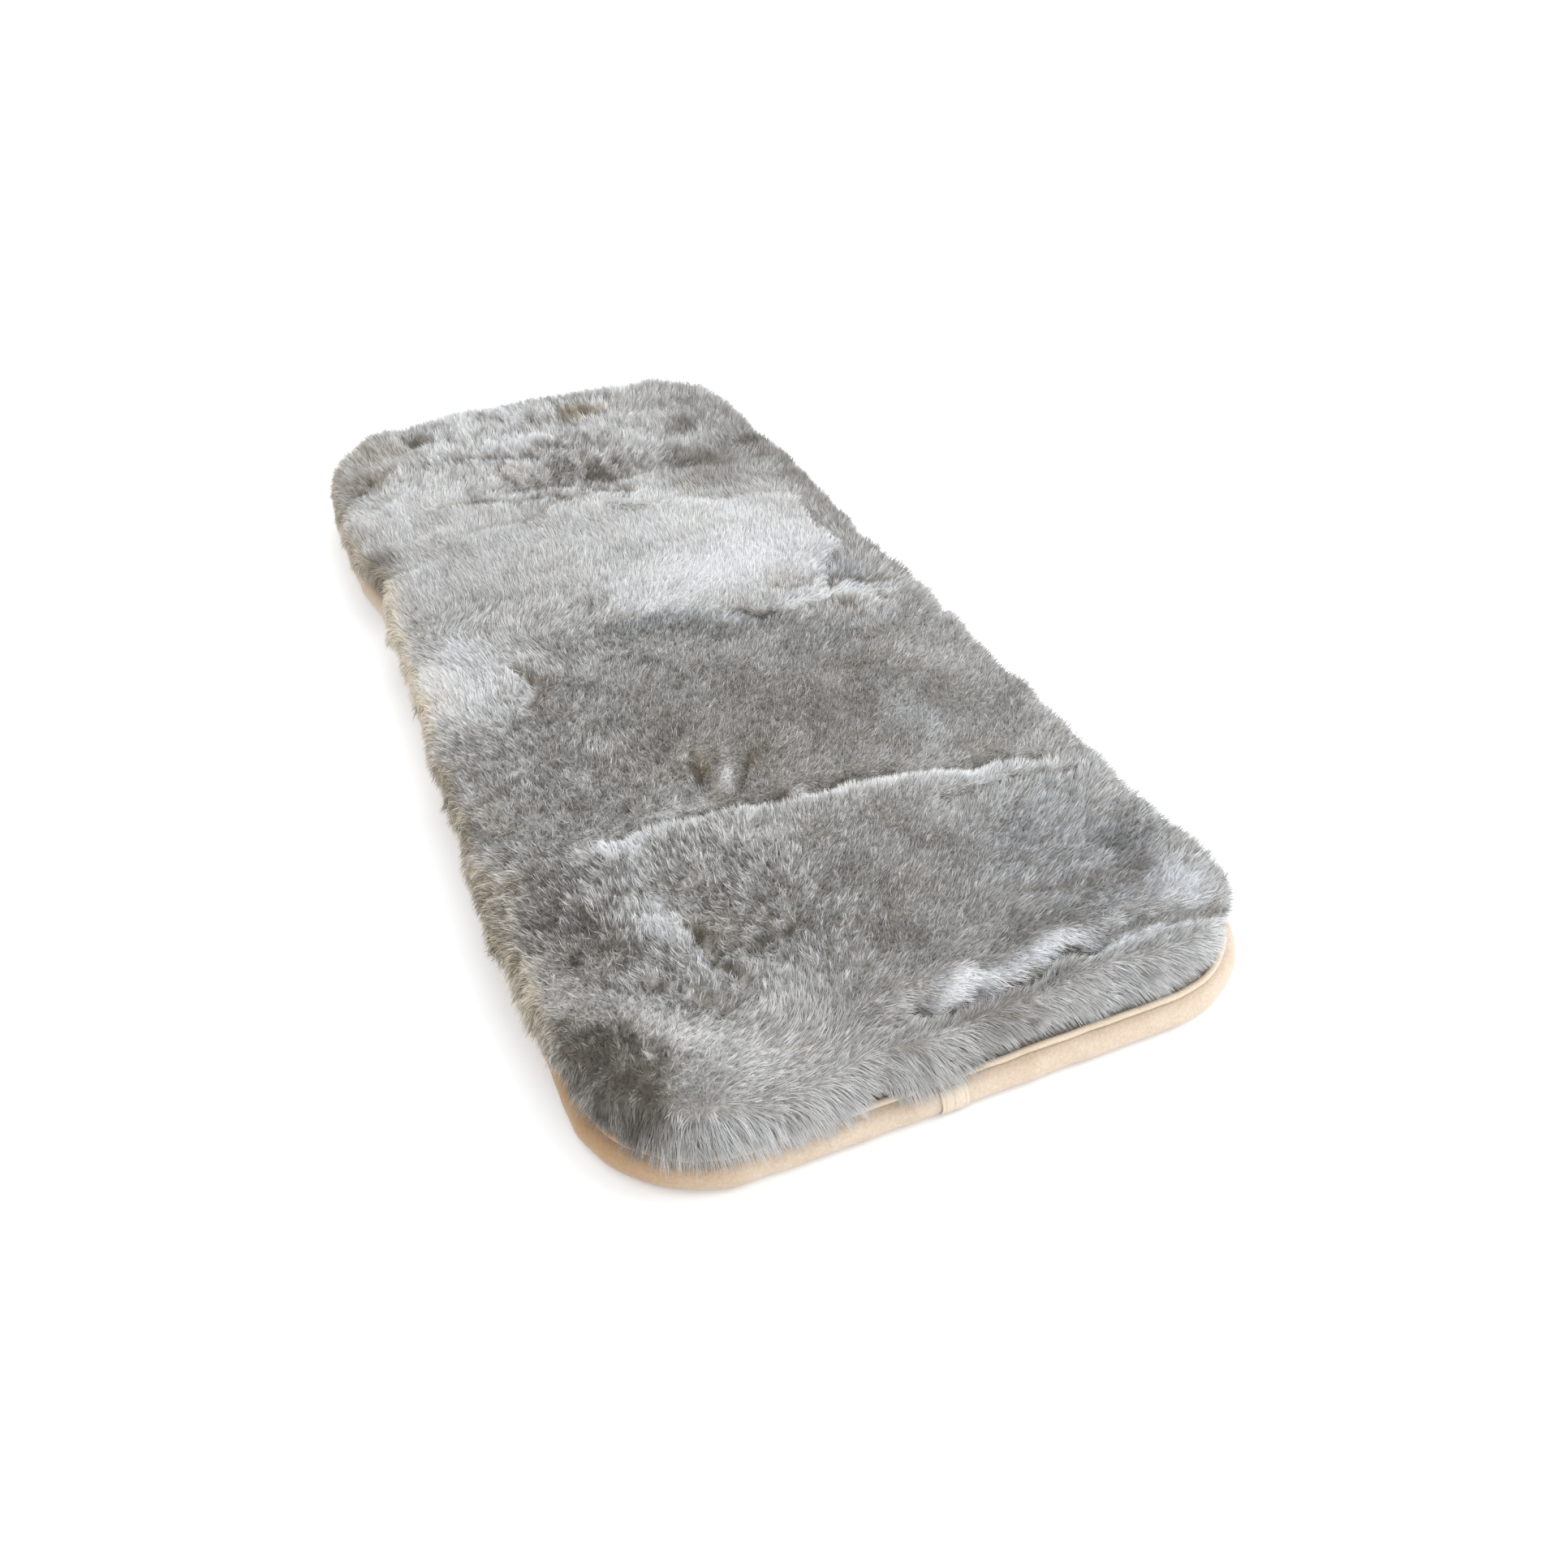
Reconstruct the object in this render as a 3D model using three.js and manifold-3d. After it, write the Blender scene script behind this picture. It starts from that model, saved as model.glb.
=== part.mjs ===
// Lambskin liner for a stroller seat, lying flat: a thin padded cloth backing with a rolled edge,
// a line of piping on that edge, and a fleece of short wool sewn on inside the piping.
// Units are millimetres. +Z is up, +Y runs from the foot end to the head end, and the origin is
// the middle of the backing's underside.

import * as THREE from 'three';
import { mergeVertices } from 'three/addons/utils/BufferGeometryUtils.js';
import Module from 'manifold-3d';

// Driving dimensions

const LENGTH = 780;
const WIDTH = 334;
const CORNER_RADIUS = 65;
const GAP = 0.3; // between pieces that touch

const BACKING_THICKNESS = 14.4;
const ROLL_STEPS = 4; // facets of a quarter of the rolled edge
const CORNER_STEPS = 9; // facets of each corner, seen from above

const PIPING_DIAMETER = 3.2;
const PIPING_INSET = 7; // from the backing's outermost edge to the piping's middle
const PIPING_SIDES = 6;

const SEWN_INSET = 11.5; // from the backing's outermost edge to the line where the fleece is sewn
const PILE_TOP = 51; // usual height of the wool above the ground
const SHOULDER = 26; // how far in from the sewn line the wool reaches that height
const SHOULDER_FULLNESS = 2.4;
const EDGE_STRETCH = 10; // how quickly the top's outward pull fades towards the middle
const SEWN_FACE = BACKING_THICKNESS + GAP;
const TRIM_ALLOWANCE = 8; // what is trimmed off the fleece's underside
const ROWS_BETWEEN_CORNERS = 50;
const ROWS_IN_CORNER = 6;
const COLUMNS = 26;

const LAP_WIDTH = 13; // where the backing's edge cloth overlaps itself, at the foot end
const LAP_THICKNESS = 1.1;
const LAP_X = -10.5;
const LAP_FROM = -Math.PI * 0.27; // its lower and upper ends, as turns round the roll
const LAP_TO = Math.PI * 0.36;
const LAP_STEPS = 12;

// The fleece's side, from the sewn line up to its shoulder. `out` is how far each level reaches
// from the sewn line (0) towards the fullest outline of the wool (1).
const RIM_LEVELS = [
  { z: SEWN_FACE - TRIM_ALLOWANCE, out: 0 },
  { z: SEWN_FACE, out: 0 },
  { z: 19.2, out: 0.1 },
  { z: 22.5, out: 0.64 },
  { z: 28, out: 0.94 },
  { z: 34.5, out: 1 },
  { z: 41, out: 0.86 },
  { z: 46, out: 0.52 },
];

// The liner's sides are drawn in a little where it has been folded: how far, along the length.
const DRAWN_IN = [
  { y: -220, left: 0, right: 0 },
  { y: -40, left: 1, right: 0 },
  { y: 40, left: 5, right: 3 },
  { y: 110, left: 8, right: 2 },
  { y: 158, left: 7, right: 0 },
  { y: 210, left: 1, right: 0 },
  { y: 320, left: 1, right: 0 },
  { y: 390, left: 5, right: 3 },
];
const SIDE_STEPS = 18; // facets of each long side, seen from above
const END_STEPS = 4;

// How far the wool's fullest outline reaches from the middle line, before the sides are drawn in.
// The wool spreads past the backing in soft bulges, with nicks between them.
const SIDE_STATIONS = [
  { y: -400, left: 164, right: 166 },
  { y: -345, left: 166, right: 166 },
  { y: -312, left: 174, right: 162 },
  { y: -280, left: 176, right: 156 },
  { y: -252, left: 177, right: 157 },
  { y: -222, left: 179, right: 160 },
  { y: -190, left: 177, right: 159 },
  { y: -160, left: 174, right: 158 },
  { y: -128, left: 173, right: 158 },
  { y: -96, left: 172, right: 160 },
  { y: -72, left: 175, right: 162 },
  { y: -40, left: 170, right: 165 },
  { y: -12, left: 171, right: 164 },
  { y: 20, left: 170, right: 163 },
  { y: 42, left: 173, right: 160 },
  { y: 70, left: 172, right: 162 },
  { y: 96, left: 175, right: 163 },
  { y: 124, left: 170, right: 166 },
  { y: 150, left: 168, right: 163 },
  { y: 182, left: 174, right: 166 },
  { y: 220, left: 172, right: 165 },
  { y: 262, left: 172, right: 161 },
  { y: 310, left: 169, right: 164 },
  { y: 350, left: 164, right: 162 },
  { y: 400, left: 158, right: 158 },
];

// The same for the two ends, at stations across the width, measured from the middle of the length.
const END_STATIONS = [
  { x: -150, foot: 388, head: 381 },
  { x: -115, foot: 391, head: 387 },
  { x: -84, foot: 392, head: 395 },
  { x: -54, foot: 390, head: 407 },
  { x: -38, foot: 385, head: 408 },
  { x: -18, foot: 391, head: 406 },
  { x: 4, foot: 388, head: 402 },
  { x: 34, foot: 384, head: 399 },
  { x: 70, foot: 384, head: 391 },
  { x: 100, foot: 385, head: 391 },
  { x: 128, foot: 384, head: 388 },
  { x: 150, foot: 384, head: 383 },
];

// Broad swells and hollows of the top: middle, half lengths across and along, and rise.
const SWELLS = [
  { name: 'head roll', x: 10, y: 372, across: 150, along: 26, rise: 4.5 },
  { name: 'head left knob', x: -128, y: 352, across: 32, along: 30, rise: 3.5 },
  { name: 'head hollow', x: 30, y: 322, across: 110, along: 22, rise: -3.5 },
  { name: 'neck pillow', x: -30, y: 268, across: 120, along: 34, rise: 2.5 },
  { name: 'neck hollow', x: 40, y: 214, across: 120, along: 16, rise: -3 },
  { name: 'back swell', x: 35, y: 112, across: 120, along: 62, rise: 3 },
  { name: 'left dent', x: -146, y: 176, across: 22, along: 20, rise: -4 },
  { name: 'waist hollow', x: 70, y: -2, across: 90, along: 22, rise: -3 },
  { name: 'seat swell', x: 20, y: -96, across: 120, along: 60, rise: 2.5 },
  { name: 'seat dip', x: 10, y: -176, across: 110, along: 18, rise: -2.5 },
  { name: 'leg swell', x: 55, y: -296, across: 95, along: 50, rise: 2 },
  { name: 'leg left hollow', x: -108, y: -262, across: 34, along: 40, rise: -3 },
  { name: 'foot left knob', x: -122, y: -338, across: 34, along: 34, rise: 2 },
];

// Partings and folds of the wool: the line they follow, how deep and wide the groove is, and how
// high the wool on its foot side stands over it. The lip's place and width are in groove widths.
const LIP_OFFSET = 1.8;
const LIP_WIDTH = 1.4;
const FOLDS = [
  {
    name: 'seat fold',
    line: [[-168, -181], [-95, -197], [0, -203], [95, -218], [172, -250]],
    depth: 6, width: 9, lip: 3.5,
  },
  {
    name: 'seat fold branch',
    line: [[58, -247], [90, -239], [128, -240]],
    depth: 4, width: 7, lip: 1.5,
  },
  {
    name: 'foot fold',
    line: [[-62, -374], [0, -368], [70, -364], [142, -364]],
    depth: 8, width: 9, lip: 0,
  },
  { name: 'leg parting', line: [[-83, -262], [-82, -306]], depth: 4, width: 8, lip: 0 },
  { name: 'leg cross parting', line: [[-80, -299], [-48, -300]], depth: 4, width: 7, lip: 1 },
  { name: 'left dimple', line: [[-45, -152], [-49, -175]], depth: 5, width: 7, lip: 0 },
  { name: 'right dimple', line: [[-15, -158], [-33, -186]], depth: 5, width: 7, lip: 0 },
  { name: 'waist fold', line: [[-20, 8], [45, 4], [110, 18], [165, 10]], depth: 4, width: 9, lip: 2 },
  { name: 'neck fold', line: [[-60, 226], [20, 216], [100, 205], [165, 190]], depth: 5, width: 10, lip: 2 },
  { name: 'head left fold', line: [[-170, 300], [-128, 318], [-92, 340]], depth: 5, width: 9, lip: 2.5 },
  { name: 'left nick fold', line: [[-172, 176], [-140, 186], [-100, 196]], depth: 5, width: 9, lip: 2 },
];

// Small unevenness of the coat: its height, and its lengths across and along.
const RIPPLE = { height: 0.9, across: 17, along: 19, wander: 23, sway: 13 };

// Locks of wool that stand out of the fleece's rim, in rows one over the other. Each lock is a
// flat pyramid whose root is sunk in the rim. `droop` and `sideways` are the slopes it hangs at.
const LOCK_SPACING = 12.5;
const LOCK_LENGTH = 17;
const LOCK_RADIUS = 9;
const LOCK_FLATNESS = 0.5;
const LOCK_SIDES = 4;
const LOCK_SIZES = { smallest: 0.8, largest: 1.2 };
const LOCK_ROOT_DEPTH = 11; // from the fullest outline in to the lock's root
const LOCK_ROWS = [
  { z: 27, droop: 0.3, sideways: 0.7 },
  { z: 40, droop: 0, sideways: 0.9 },
  { z: 33, droop: 0.15, sideways: 0.5 },
];

// Colours

const WOOL = new THREE.MeshStandardMaterial({ color: 0xa3a3a2, roughness: 0.96, metalness: 0 });
const CLOTH = new THREE.MeshStandardMaterial({ color: 0xdcc5a4, roughness: 0.93, metalness: 0 });
const CLOTH_TRIM = new THREE.MeshStandardMaterial({ color: 0xe3ceb0, roughness: 0.9, metalness: 0 });

// A number from 0 to 1 that depends only on its seed, as evenly spread as the golden ratio's steps.
const GOLDEN_STEP = (Math.sqrt(5) - 1) / 2;
const scatter = (seed) => (seed * seed * GOLDEN_STEP + seed * GOLDEN_STEP) % 1;

// Straight lines between the rows of a table, eased so that the stations aren't corners.
const readTable = (rows, key, at, column) => {
  const last = rows.length - 1;
  if (at <= rows[0][key]) return rows[0][column];
  if (at >= rows[last][key]) return rows[last][column];
  const next = rows.findIndex((row) => row[key] >= at);
  const low = rows[next - 1];
  const high = rows[next];
  const share = THREE.MathUtils.smoothstep(at, low[key], high[key]);
  return THREE.MathUtils.lerp(low[column], high[column], share);
};

// A rectangle with round corners, as a flat shape whose straight sides are cut into short steps.
const roundedRectangle = (width, length, radius) => {
  const x = width / 2 - radius;
  const y = length / 2 - radius;
  const corners = [[x, y], [-x, y], [-x, -y], [x, -y]];
  const points = corners.flatMap(([cornerX, cornerY], i) => {
    const from = (i * Math.PI) / 2;
    const arc = new THREE.EllipseCurve(cornerX, cornerY, radius, radius, from, from + Math.PI / 2);
    const turn = arc.getPoints(CORNER_STEPS);
    const [nextX, nextY] = corners[(i + 1) % corners.length];
    const end = turn[turn.length - 1];
    const steps = i % 2 === 0 ? END_STEPS : SIDE_STEPS;
    const travel = new THREE.Vector2(nextX - cornerX, nextY - cornerY).divideScalar(steps);
    const straight = Array.from({ length: steps - 1 }, (_, k) => (
      end.clone().addScaledVector(travel, k + 1)
    ));
    return [...turn, ...straight];
  });
  return new THREE.Shape(points);
};

// The padded backing: a flat pad whose edge is rolled to a half round.
const makeBacking = () => {
  const roll = BACKING_THICKNESS / 2;
  const flat = roundedRectangle(WIDTH - 2 * roll, LENGTH - 2 * roll, CORNER_RADIUS - roll);
  const flatMiddle = 0.02; // the extrusion's own depth, between its two bevels
  return new THREE.ExtrudeGeometry(flat, {
    depth: flatMiddle,
    bevelThickness: roll - flatMiddle / 2,
    bevelSize: roll,
    bevelSegments: ROLL_STEPS,
    curveSegments: 1,
  }).translate(0, 0, roll - flatMiddle / 2);
};

// The piping: a round cord whose middle follows the backing's edge, on top of it.
const makePiping = () => {
  const middle = roundedRectangle(
    WIDTH - 2 * PIPING_INSET,
    LENGTH - 2 * PIPING_INSET,
    CORNER_RADIUS - PIPING_INSET,
  ).getPoints();
  // A torus has the same rings of points, so its rings are moved to the cord's own middle line.
  const steps = middle.length;
  const ring = new THREE.TorusGeometry(CORNER_RADIUS, PIPING_DIAMETER / 2, PIPING_SIDES, steps);
  const points = ring.getAttribute('position');
  for (let i = 0; i < points.count; i += 1) {
    const step = i % (steps + 1) % steps;
    const before = middle[(step + steps - 1) % steps];
    const after = middle[(step + 1) % steps];
    const along = after.clone().sub(before).normalize();
    const beyond = Math.hypot(points.getX(i), points.getY(i)) - CORNER_RADIUS;
    points.setX(i, middle[step].x + along.y * beyond);
    points.setY(i, middle[step].y - along.x * beyond);
  }
  return ring.translate(0, 0, BACKING_THICKNESS + GAP + PIPING_DIAMETER / 2);
};

// The lap: the end of the edge cloth, wrapped over the roll at the foot end.
const makeLap = () => {
  const roll = BACKING_THICKNESS / 2;
  const inner = roll + GAP;
  const outer = inner + LAP_THICKNESS;
  const band = new THREE.Shape()
    .absarc(0, 0, outer, LAP_FROM, LAP_TO)
    .absarc(0, 0, inner, LAP_TO, LAP_FROM, true);
  const lap = new THREE.ExtrudeGeometry(band, {
    depth: LAP_WIDTH,
    bevelEnabled: false,
    curveSegments: LAP_STEPS,
  });
  // The section's first axis points out of the foot end, and its second one up.
  const outwards = new THREE.Vector3(0, -1, 0);
  const up = new THREE.Vector3(0, 0, 1);
  const along = new THREE.Vector3().crossVectors(outwards, up);
  lap.applyMatrix4(new THREE.Matrix4().makeBasis(outwards, up, along));
  return lap.translate(LAP_X + LAP_WIDTH / 2, -(LENGTH / 2 - roll), roll);
};

// Draws the sides of a piece in where the liner has been folded.
const drawIn = (geometry) => {
  const points = geometry.getAttribute('position');
  for (let i = 0; i < points.count; i += 1) {
    const x = points.getX(i);
    const inwards = readTable(DRAWN_IN, 'y', points.getY(i), x < 0 ? 'left' : 'right');
    points.setX(i, x * (1 - inwards / (WIDTH / 2)));
  }
  return geometry;
};

// Distance from a point to a fold's line, positive on its foot side and negative on its head side.
const distanceToFold = (line, x, y) => {
  let nearest = Infinity;
  line.slice(1).forEach(([endX, endY], i) => {
    const [startX, startY] = line[i];
    const spanX = endX - startX;
    const spanY = endY - startY;
    const along = ((x - startX) * spanX + (y - startY) * spanY) / (spanX ** 2 + spanY ** 2);
    const held = THREE.MathUtils.clamp(along, 0, 1);
    const offX = x - (startX + held * spanX);
    const offY = y - (startY + held * spanY);
    const distance = Math.hypot(offX, offY);
    if (distance >= Math.abs(nearest)) return;
    nearest = spanX * offY - spanY * offX < 0 ? distance : -distance;
  });
  return nearest;
};

const bell = (distance) => Math.exp(-(distance ** 2));

// Height of the wool's top over the ground, before its shoulders fall away.
const woolHeight = (x, y) => {
  let height = PILE_TOP;
  SWELLS.forEach((swell) => {
    const off = Math.hypot((x - swell.x) / swell.across, (y - swell.y) / swell.along);
    height += swell.rise * bell(off);
  });
  FOLDS.forEach((fold) => {
    const distance = distanceToFold(fold.line, x, y);
    height -= fold.depth * bell(distance / fold.width);
    height += fold.lip * bell((distance - LIP_OFFSET * fold.width) / (LIP_WIDTH * fold.width));
  });
  const acrossRipple = Math.sin(x / RIPPLE.across + Math.sin(y / RIPPLE.wander));
  const alongRipple = Math.sin(y / RIPPLE.along + Math.sin(x / RIPPLE.sway) / 2);
  return height + RIPPLE.height * acrossRipple * alongRipple;
};

// Half sizes of the line along which the fleece is sewn.
const sewnWidth = WIDTH / 2 - SEWN_INSET;
const sewnLength = LENGTH / 2 - SEWN_INSET;
const sewnRadius = CORNER_RADIUS - SEWN_INSET;
const ROWS = ROWS_BETWEEN_CORNERS + 2 * ROWS_IN_CORNER;

// Where a row of the fleece's grid crosses it, from the foot end (0) to the head end (ROWS): its
// half width there, and how far round a corner the sewn line has turned.
const rowPlace = (row) => {
  const fromEnd = Math.min(row, ROWS - row);
  const side = row < ROWS / 2 ? -1 : 1;
  if (fromEnd < ROWS_IN_CORNER) {
    const turn = (Math.PI / 2) * (1 - fromEnd / ROWS_IN_CORNER);
    const y = side * (sewnLength - sewnRadius + sewnRadius * Math.sin(turn));
    return { y, halfWidth: sewnWidth - sewnRadius + sewnRadius * Math.cos(turn), turn, side };
  }
  const share = (row - ROWS_IN_CORNER) / ROWS_BETWEEN_CORNERS;
  return { y: (2 * share - 1) * (sewnLength - sewnRadius), halfWidth: sewnWidth, turn: 0, side };
};

// How far the fullest outline lies outside the sewn line, in the direction (outX, outY).
const bulge = (x, y, outX, outY) => {
  const side = readTable(SIDE_STATIONS, 'y', y, x < 0 ? 'left' : 'right') - sewnWidth;
  const end = readTable(END_STATIONS, 'x', x, y < 0 ? 'foot' : 'head') - sewnLength;
  return side * outX ** 2 + end * outY ** 2;
};

// Turns a place on a box's surface, with each coordinate from -1 to 1, into a place on the fleece.
const placeOnFleece = (u, v, w) => {
  const row = Math.round(((v + 1) / 2) * ROWS);
  const { y, halfWidth, turn, side } = rowPlace(row);
  const onEnd = row === 0 || row === ROWS;
  const onSide = Math.abs(u) > 0.999;
  const x = u * halfWidth;
  const rim = RIM_LEVELS[Math.round(((w + 1) / 2) * (RIM_LEVELS.length - 1))];
  if (w < 1 && !onEnd && !onSide) return new THREE.Vector3(x, y, RIM_LEVELS[0].z);

  // The outward direction at the nearest place of the sewn line.
  const outX = onEnd && !onSide ? 0 : Math.sign(u) * Math.cos(turn);
  const outY = onEnd && !onSide ? side : side * Math.sin(turn);
  // The top is pulled outwards less and less towards the middle.
  const nearEdge = Math.max(Math.abs(u), Math.abs(y) / sewnLength) ** EDGE_STRETCH;
  const reach = bulge(x, y, outX, outY) * rim.out * (onEnd || onSide ? 1 : nearEdge);
  const placed = new THREE.Vector3(x + outX * reach, y + outY * reach, rim.z);
  if (w < 1) return placed;

  // The shoulder rises to the full height of the wool over a short way in from the edge.
  const insideX = halfWidth * (1 - Math.abs(u));
  const insideY = sewnLength - Math.abs(y);
  const inside = Math.min(insideX, insideY, SHOULDER) / SHOULDER;
  const rise = Math.sqrt(1 - (1 - inside) ** SHOULDER_FULLNESS);
  placed.z = THREE.MathUtils.lerp(rim.z, woolHeight(placed.x, placed.y), rise);
  return placed;
};

const makeWoolBody = () => {
  const box = new THREE.BoxGeometry(2, 2, 2, COLUMNS, ROWS, RIM_LEVELS.length - 1);
  const points = box.getAttribute('position');
  for (let i = 0; i < points.count; i += 1) {
    const placed = placeOnFleece(points.getX(i), points.getY(i), points.getZ(i));
    points.setXYZ(i, placed.x, placed.y, placed.z);
  }
  return box;
};

// A place on the fleece's fullest outline, `along` of the way round, with its outward direction.
const outline = roundedRectangle(2 * sewnWidth, 2 * sewnLength, sewnRadius);
outline.closePath();

const rimPlace = (along) => {
  const at = outline.getPointAt(along);
  const tangent = outline.getTangentAt(along);
  const out = new THREE.Vector2(tangent.y, -tangent.x);
  return { at, out, reach: bulge(at.x, at.y, out.x, out.y) };
};

// One lock, growing from a root at the origin towards `lean`, with its flat side up.
const makeLock = (lean, size) => {
  const lock = new THREE.ConeGeometry(LOCK_RADIUS * size, LOCK_LENGTH * size, LOCK_SIDES);
  lock.translate(0, (LOCK_LENGTH * size) / 2, 0).scale(1, 1, LOCK_FLATNESS);
  const across = new THREE.Vector3(-lean.y, lean.x, 0).normalize();
  const face = new THREE.Vector3().crossVectors(across, lean);
  return lock.applyMatrix4(new THREE.Matrix4().makeBasis(across, lean, face));
};

const makeLocks = () => {
  const count = Math.floor(outline.getLength() / LOCK_SPACING);
  return Array.from({ length: count }, (_, i) => {
    const row = LOCK_ROWS[i % LOCK_ROWS.length];
    const { at, out, reach } = rimPlace((i + scatter(i) / 3) / count);
    const size = THREE.MathUtils.lerp(LOCK_SIZES.smallest, LOCK_SIZES.largest, scatter(i + count));
    const aside = row.sideways * (0.5 + scatter(i + 2 * count));
    const leanX = out.x - aside * out.y;
    const leanY = out.y + aside * out.x;
    const lean = new THREE.Vector3(leanX, leanY, -row.droop).normalize();
    const root = reach - LOCK_ROOT_DEPTH;
    return makeLock(lean, size).translate(at.x + out.x * root, at.y + out.y * root, row.z);
  });
};

// Joining solids

const wasm = await Module();
wasm.setup();

const toSolid = (geometry) => {
  const bare = geometry.clone();
  bare.deleteAttribute('normal');
  bare.deleteAttribute('uv');
  const merged = mergeVertices(bare, 1e-3);
  return new wasm.Manifold(new wasm.Mesh({
    numProp: 3,
    vertProperties: new Float32Array(merged.getAttribute('position').array),
    triVerts: new Uint32Array(merged.index.array),
  }));
};

const toGeometry = (solid) => {
  const mesh = solid.getMesh();
  const geometry = new THREE.BufferGeometry();
  geometry.setAttribute('position', new THREE.BufferAttribute(mesh.vertProperties, 3));
  geometry.setIndex(new THREE.BufferAttribute(mesh.triVerts, 1));
  geometry.computeVertexNormals();
  return geometry;
};

const makeFleece = () => {
  const joined = makeLocks().reduce((body, lock) => body.add(toSolid(lock)), toSolid(makeWoolBody()));
  const trim = new THREE.BoxGeometry(2 * WIDTH, 2 * LENGTH, SEWN_FACE);
  return toGeometry(joined.subtract(toSolid(trim.translate(0, 0, SEWN_FACE / 2))));
};

const named = (name, geometry, material) => {
  const mesh = new THREE.Mesh(geometry, material);
  mesh.name = name;
  return mesh;
};

const liner = new THREE.Group();
liner.add(
  named('backing', drawIn(makeBacking()), CLOTH),
  named('piping', drawIn(makePiping()), CLOTH_TRIM),
  named('edge_lap', makeLap(), CLOTH_TRIM),
  named('fleece', drawIn(makeFleece()), WOOL),
);

export default liner;
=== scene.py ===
# %% [markdown]
# # A lambskin liner for a stroller seat
# The real liner is a sheared lambskin, about as long as a stroller seat, sewn onto a thin padded
# cloth backing whose edge is rolled and piped. It lies flat, with the wool up.
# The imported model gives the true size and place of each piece. This script dresses them: the wool
# becomes a soft bed with over two hundred thousand fine strands, and the cloth gets its own nap.

# %% The frame, and the numbers that every piece shares
import math

import bmesh
import bpy
import numpy as np
from mathutils import Matrix, Vector, kdtree


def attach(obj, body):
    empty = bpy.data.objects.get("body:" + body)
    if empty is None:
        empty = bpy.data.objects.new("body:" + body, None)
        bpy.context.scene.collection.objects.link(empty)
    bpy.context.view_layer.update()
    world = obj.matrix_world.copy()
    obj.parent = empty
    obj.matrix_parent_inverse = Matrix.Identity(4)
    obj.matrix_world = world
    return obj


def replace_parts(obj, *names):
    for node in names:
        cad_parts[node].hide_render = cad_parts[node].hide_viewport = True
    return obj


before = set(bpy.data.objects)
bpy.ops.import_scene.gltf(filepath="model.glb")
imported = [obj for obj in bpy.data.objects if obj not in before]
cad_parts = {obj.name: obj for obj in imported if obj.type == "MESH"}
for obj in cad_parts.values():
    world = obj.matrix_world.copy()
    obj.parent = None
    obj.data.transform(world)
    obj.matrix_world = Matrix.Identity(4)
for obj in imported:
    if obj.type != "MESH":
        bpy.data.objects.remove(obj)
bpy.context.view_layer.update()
MM = 0.001
LENGTH = 780 * MM
WIDTH = 334 * MM
CORNER_RADIUS = 65 * MM
BACKING_THICKNESS = 14.4 * MM
GAP = 0.3 * MM
luck = np.random.default_rng(41)

# %% [markdown]
# ## The camera
# The photo was taken by hand from the foot end, a little to the left. A camera is pinned down by
# its place, the way it looks, and its focal length, so those are the named values. The roll is a
# turn about the camera's own looking axis, which is easier to read as one angle than as a matrix.

# %% The camera
PHOTO_PIXELS = 1932
FOCAL_PIXELS = 1827
MIDDLE_PIXEL = Vector((936.1, 937.2))
CAMERA_PLACE = Vector((-228.4, -772.1, 505.7)) * MM
CAMERA_AIM = Vector((13.0, -105.5, -0.3)) * MM
CAMERA_ROLL = math.radians(-3.84)
SENSOR_WIDTH = 36
CLIP_START = 0.01


def make_camera():
    data = bpy.data.cameras.new("camera")
    data.sensor_width = SENSOR_WIDTH
    data.lens = FOCAL_PIXELS / PHOTO_PIXELS * data.sensor_width
    data.shift_x = 0.5 - MIDDLE_PIXEL.x / PHOTO_PIXELS
    data.shift_y = MIDDLE_PIXEL.y / PHOTO_PIXELS - 0.5
    data.clip_start = CLIP_START
    camera = bpy.data.objects.new("camera", data)
    bpy.context.collection.objects.link(camera)
    turn = (CAMERA_PLACE - CAMERA_AIM).to_track_quat("Z", "Y").to_matrix().to_4x4()
    camera.matrix_world = (
        Matrix.Translation(CAMERA_PLACE) @ turn @ Matrix.Rotation(CAMERA_ROLL, 4, "Z")
    )
    bpy.context.scene.camera = camera
    return camera


camera = make_camera()
print("lens", round(camera.data.lens, 2), "mm")

# %% [markdown]
# ## Shader maths that reads like maths
# A material is a graph of nodes, and a formula drawn as a graph is hard to follow. A small class
# can wrap one output socket, so that the + - * / signs of Python add the Math nodes.

# %% Sockets with arithmetic, and one way to add any node


class Wire:
    """One output socket. Arithmetic on it adds a Math node and returns that node's output."""

    def __init__(self, finish, socket):
        self.finish = finish
        self.socket = socket

    def math(self, operation, *values):
        return self.finish.node("ShaderNodeMath", {"operation": operation}, *values)

    def __add__(self, other):
        return self.math("ADD", self, other)

    def __sub__(self, other):
        return self.math("SUBTRACT", self, other)

    def __mul__(self, other):
        return self.math("MULTIPLY", self, other)

    def __truediv__(self, other):
        return self.math("DIVIDE", self, other)

    def __pow__(self, other):
        return self.math("POWER", self, other)

    __radd__ = __add__
    __rmul__ = __mul__


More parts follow.
